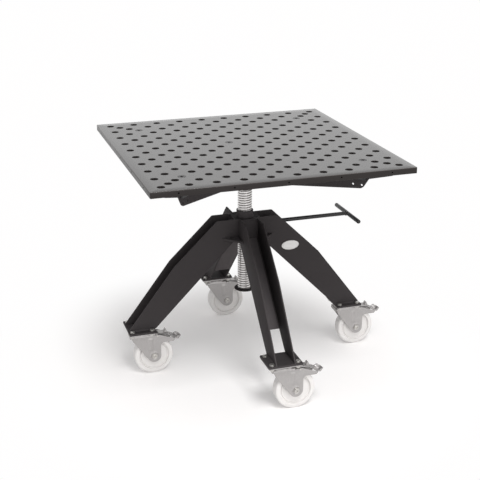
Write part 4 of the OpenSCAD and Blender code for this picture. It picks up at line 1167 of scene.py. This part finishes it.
def bump(distance, width):
    """Smooth hill of height 1 and that width: half a cosine wave over the distance."""
    return np.where(np.abs(distance) < width / 2, 0.5 + 0.5 * np.cos(distance / width * TURN), 0.0)


def ramp(x, low, high):
    """0 below low, 1 above high, and three t squared minus two t cubed between; the two limits
    are millimetres."""
    t = np.clip((x / MM - low) / (high - low), 0, 1)
    return t * t * (3 - 2 * t)


def hill(x, a, b, c, d):
    """Ramp up from a to b and down from c to d, in millimetres."""
    return ramp(x, a, b) * (1 - ramp(x, c, d))


class WT_OT_wheels(bpy.types.Operator):
    """Solid nylon wheels with rounded treads, grooves and hubs, their bushes and axles"""
    bl_idname = "work_table.wheels"
    bl_label = "Wheels"

    def execute(self, context):
        tread = arc(73 * MM, 15.5 * MM, 7 * MM, 0, 90, 8)
        depth = context.scene.wt_casters.groove
        groove = arc(58.5 * MM, 15.5 * MM + depth / 2, depth, 0, -180, 8)
        disc = mm((53, 16), (34, 17.5), (28, 18.5), (26, 21.5), (25.5, 24.4), (24.5, 25))
        bore = mm((16.3, 25), (15.1, 23.8))
        half = np.vstack([mm(80, 0), tread, mm((63, 22.5), (62, 21.5)), groove, disc, bore])
        profile = np.vstack([half, (half * [1, -1])[:0:-1]])
        for side in SIDES:
            (x, y, z), drop = caster_at(side)
            at = (x + TRAIL, y, z - drop)
            shells = Shells().at(*at)
            shells.turned(profile, 128, "Y", True)
            shells.piece(f"wheel_body_{side}", "nylon", f"wheel_{side}")
            shells = Shells().at(*at)
            shells.ring(6.2 * MM, 15 * MM, -27 * MM, 27 * MM, 0.6 * MM, axis="Y")
            shells.piece(f"wheel_bush_{side}", "bush", f"bush_{side}")
            shells = Shells().at(*at)
            self.axle(shells)
            shells.at(x + PEDAL_PIN, y, z - 10 * MM)
            shells.rod(6.8 * MM, -FORK_HALF - MM, FORK_HALF + MM, 0.8 * MM, "Y")
            shells.piece(f"axle_bolt_{side}", "fasteners", f"axle_{side}")
        return {"FINISHED"}

    def axle(self, shells):
        """Socket bolt with washers, and lock nut with its round collar."""
        out = FORK_HALF
        shells.rod(12 * MM, -out - MM, out + 13 * MM, MM, "Y")
        near, far = out + 0.05 * MM, out + 1.8 * MM
        for low, high in ((-far, -near), (near, far)):
            shells.ring(6.1 * MM, 12 * MM, low, high, 0.3 * MM, 48, "Y")
        r, face = 10.5 * MM, -out - 7.6 * MM
        rim = [(r - 1.6 * MM, face), (r - 0.5 * MM, face + 0.5 * MM), (r, face + 1.6 * MM)]
        shells.socket_head(9 * MM, face + 4.6 * MM, face, 1, [*rim, (r, -far), (0, -far)], "Y")
        shells.hex_head(19 * MM, far, out + 8.6 * MM, "Y")
        shells.ring(6 * MM, 8.4 * MM, out + 7.5 * MM, out + 10.1 * MM, 0.8 * MM, 48, "Y")


class WT_OT_pedals(bpy.types.Operator):
    """Brake pedals of pressed sheet: ladder neck, rimmed round head, flanges and shoe"""
    bl_idname = "work_table.pedals"
    bl_label = "Brake pedals"

    def execute(self, context):
        for side in SIDES:
            at, drop = caster_at(side)
            shells = Shells().at(*at)
            self.sheet(shells, context.scene.wt_casters.ladder)
            self.stiffeners(shells, drop)
            shells.piece(f"pedal_sheet_{side}", "zinc", f"pedal_{side}")
        return {"FINISHED"}

    def sheet(self, shells, window):
        """Neck with four windows, and round head."""
        half, head_x, head_r = PEDAL_HALF, 145 * MM, 25 * MM
        line_x, line_z = mm((66, 74, 105, 122, 170), (-4, -4, -6, -19, -46))

        def top(x):
            """The pedal's side view, with its corners eased by averaging over 8 mm."""
            return np.mean([np.interp(x + o, line_x, line_z) for o in mm(*range(-4, 5))], axis=0)

        def place(u, v, w):
            """Follows the side view; the head's rim turns up steeply near its edge behind the
            middle, its face is dished, and the neck's two sides roll down a little."""
            edge_r = np.hypot(u - head_x, v)
            rim = 16 * ramp(edge_r, 16, 25) * ramp(u, 140, 158)
            dish = 1.5 * (1 - ramp(edge_r, 0, 17)) * ramp(u, 122, 135)
            roll = 2.0 * ramp(np.abs(v), 15, 19) * (1 - ramp(u, 118, 126))
            return np.stack([u, v, top(u) + MM * (rim - dish - roll) - CASTER_SHEET + w], axis=-1)
        meet = math.degrees(math.asin(half / head_r))
        head = arc(head_x, 0, head_r, meet - 180, 180 - meet, 40)
        w, d = window / 2, 5.5 * MM
        holes = [
            round_box(x - w, y - d, x + w, y + d, 1.5 * MM, 3)
            for x in (112 * MM, 124 * MM) for y in (-8.5 * MM, 8.5 * MM)
        ]
        outline = np.vstack([(74 * MM, -half), head, (74 * MM, half)])
        shells.sheet(outline, holes, CASTER_SHEET, 0.8 * MM, place, 2 * MM)

    def stiffeners(self, shells, drop):
        """Upright flanges from the pin to the waist; the brake shoe, whose underside follows the
        wheel at a constant gap; and the ridge on the crest that the toe presses to free the
        brake, a hill of half a cosine wave."""
        eye = arc(PEDAL_PIN, -10 * MM, 7 * MM, 90, 250, 12)
        flange = rounded(np.vstack([eye, mm((122, -26), (122, -18), (105, -8), (74, -6))]), 1.2 * MM, 3)
        for y in (-PEDAL_HALF, PEDAL_HALF - 3 * MM):
            shells.sheet(flange, [], 3 * MM, 0.6 * MM, plane("Y", y))
        x = np.linspace(84, 96, 9) * MM
        under = np.sqrt((85 * MM) ** 2 - (x - TRAIL) ** 2) - drop
        shoe = np.vstack([np.c_[x, under], mm((96, -8), (84, -8))])
        shells.sheet(shoe, [], 24 * MM, 0.5 * MM, plane("Y", -12 * MM))
        x = np.linspace(97, 113, 17) * MM
        crest = -6 * MM + 13 * MM * bump(x - 105 * MM, 16 * MM) ** 0.6
        ridge = np.vstack([mm((97, -8), (113, -10)), np.c_[x, crest][::-1]])
        shells.sheet(ridge, [], 20 * MM, 2.5 * MM, plane("Y", -10 * MM))


class WT_OT_cad_finishes(bpy.types.Operator):
    """Gives every piece that is shown as it was packed the finish of its slot"""
    bl_idname = "work_table.cad_finishes"
    bl_label = "Finishes of packed pieces"

    def execute(self, context):
        slots = dict.fromkeys(("lock_stud", "kingpins", "pivot_pin", "pivot_nut"), "fasteners")
        slots.update(clamp_pad="pad", lock_lever="blackened")
        for name, obj in frame["nodes"].items():
            if not obj.hide_render:
                obj.data.materials.clear()
                obj.data.materials.append(finish_of(slots.get(name, "black_coat")))
        return {"FINISHED"}


def seen(g):
    """1 for rays from the camera, mirrors and glass."""
    camera, glossy, glass = [
        g.node("ShaderNodeLightPath", out=f"Is {kind} Ray") for kind in ("Camera", "Glossy", "Transmission")
    ]
    return camera.largest(glossy).largest(glass)


class WT_OT_stage(bpy.types.Operator):
    """Pale floor, soft lamps, white surroundings and the camera"""
    bl_idname = "work_table.stage"
    bl_label = "Stage"

    def execute(self, context):
        self.floor(context)
        self.lamps(context)
        self.surroundings(context)
        self.camera(context)
        context.scene.view_settings.view_transform = "Standard"
        return {"FINISHED"}

    def floor(self, context):
        """Square of floor under the wheels; from 0.5 m to 1.1 m round the spindle it turns plain white for
        the camera, which paints light over the outer part of the table's shadow.
        """
        x, y = np.meshgrid(*[np.linspace(-14.0, 14.0, 3)] * 2)
        mesh = bpy.data.meshes.new("floor")
        verts = np.stack([x, y, np.full_like(x, CAD_BOX[0][2])], axis=-1).reshape(-1, 3)
        mesh.from_pydata(verts, [], grid_faces(3, 3).tolist())
        obj = bpy.data.objects.new("floor", mesh)
        context.scene.collection.objects.link(obj)
        material = bpy.data.materials.new("floor")
        material.use_nodes = True
        g = Graph(material.node_tree)
        p = g.place()
        px, py, _ = g.axes(p)
        # Painted light: white blended in from 0.5 m out, over the outer part of the table's shadow
        far = (px * px + py * py).power(0.5).step(0.5, 1.1)
        base = g.shade(context.scene.wt_finishes.floor, 0.98 + g.noise(p, 3.0) * 0.03)
        matt = g.node("ShaderNodeBsdfDiffuse", None, {"Color": base})
        glow, lift = [
            g.node("ShaderNodeEmission", None, {"Color": (*rgb, 1.0), "Strength": strength})
            for rgb, strength in (((1.0, 0.995, 0.995), 1.0), ((1.0, 0.985, 0.98), seen(g) * FLOOR_LIFT))
        ]
        lit = g.node("ShaderNodeAddShader", None, {0: matt, 1: lift})
        out = g.node("ShaderNodeMixShader", None, {0: far * seen(g), 1: lit, 2: glow})
        g.node("ShaderNodeOutputMaterial", None, {"Surface": out})
        mesh.materials.append(material)

    def lamps(self, context):
        """Large soft lamps aimed at the middle of the table: place, side and power."""
        target = Vector((0.0, 0.0, -0.5))
        rows = (("key", (0.2, -5.1, 8.4), 3.4, 520.0), ("fill", (0.6, -6.6, 1.2), 3.6, 110.0))
        for name, place, side, power in rows:
            lamp = bpy.data.lights.new(name, "AREA")
            lamp.size = side
            lamp.energy = power
            obj = bpy.data.objects.new(name, lamp)
            obj.location = place
            obj.rotation_euler = (target - obj.location).to_track_quat("-Z", "Y").to_euler()
            context.scene.collection.objects.link(obj)

    def surroundings(self, context):
        """White world for the camera and for reflections, dimmer as a source of light."""
        world = bpy.data.worlds.new("studio")
        world.use_nodes = True
        context.scene.world = world
        g = Graph(world.node_tree)
        strength = WORLD_LIGHT + seen(g) * (1 - WORLD_LIGHT)
        back = g.node("ShaderNodeBackground", None, {"Color": (1, 1, 1, 1), "Strength": strength})
        g.node("ShaderNodeOutputWorld", None, {"Surface": back})

    def camera(self, context):
        """Camera of the photograph: long lens, above the front left corner."""
        data = bpy.data.cameras.new("camera")
        data.sensor_width = 36.0
        data.lens = 75.3
        obj = bpy.data.objects.new("camera", data)
        obj.location = (-1.200, -3.661, 1.028)
        obj.rotation_euler = (math.radians(69.62), 0.0, math.radians(-17.86))
        context.scene.collection.objects.link(obj)
        context.scene.camera = obj


class WT_PT_panel(bpy.types.Panel):
    """Lists the pieces of the table and their sizes"""
    bl_idname = "WT_PT_panel"
    bl_label = "Work table"
    bl_space_type = "VIEW_3D"
    bl_region_type = "UI"
    bl_category = "Work table"

    def draw(self, context):
        for cls in OPERATORS:
            self.layout.operator(cls.bl_idname)
        for name in GROUPS:
            group = getattr(context.scene, name)
            for prop in group.bl_rna.properties:
                if prop.identifier not in ("rna_type", "name"):
                    self.layout.prop(group, prop.identifier)


OPERATORS = (
    WT_OT_work_plate, WT_OT_plate_screws, WT_OT_ribs, WT_OT_spindle, WT_OT_spindle_nut, WT_OT_clamp,
    WT_OT_hub, WT_OT_legs, WT_OT_feet, WT_OT_badge, WT_OT_caster_plates, WT_OT_forks, WT_OT_wheels,
    WT_OT_pedals, WT_OT_cad_finishes, WT_OT_stage,
)
GROUPS = {
    "wt_plate": WT_PlateSizes,
    "wt_frame": WT_FrameSizes,
    "wt_spindle": WT_SpindleSizes,
    "wt_casters": WT_CasterSizes,
    "wt_finishes": WT_Finishes,
}
CLASSES = (*GROUPS.values(), *OPERATORS, WT_PT_panel)


def register():
    for cls in CLASSES:
        bpy.utils.register_class(cls)
    for name, cls in GROUPS.items():
        setattr(bpy.types.Scene, name, PointerProperty(type=cls))


def unregister():
    for name in GROUPS:
        delattr(bpy.types.Scene, name)
    for cls in reversed(CLASSES):
        bpy.utils.unregister_class(cls)


def main():
    """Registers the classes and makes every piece."""
    register()
    for cls in OPERATORS:
        group, name = cls.bl_idname.split(".")
        getattr(getattr(bpy.ops, group), name)()


if __name__ == "__main__":
    main()
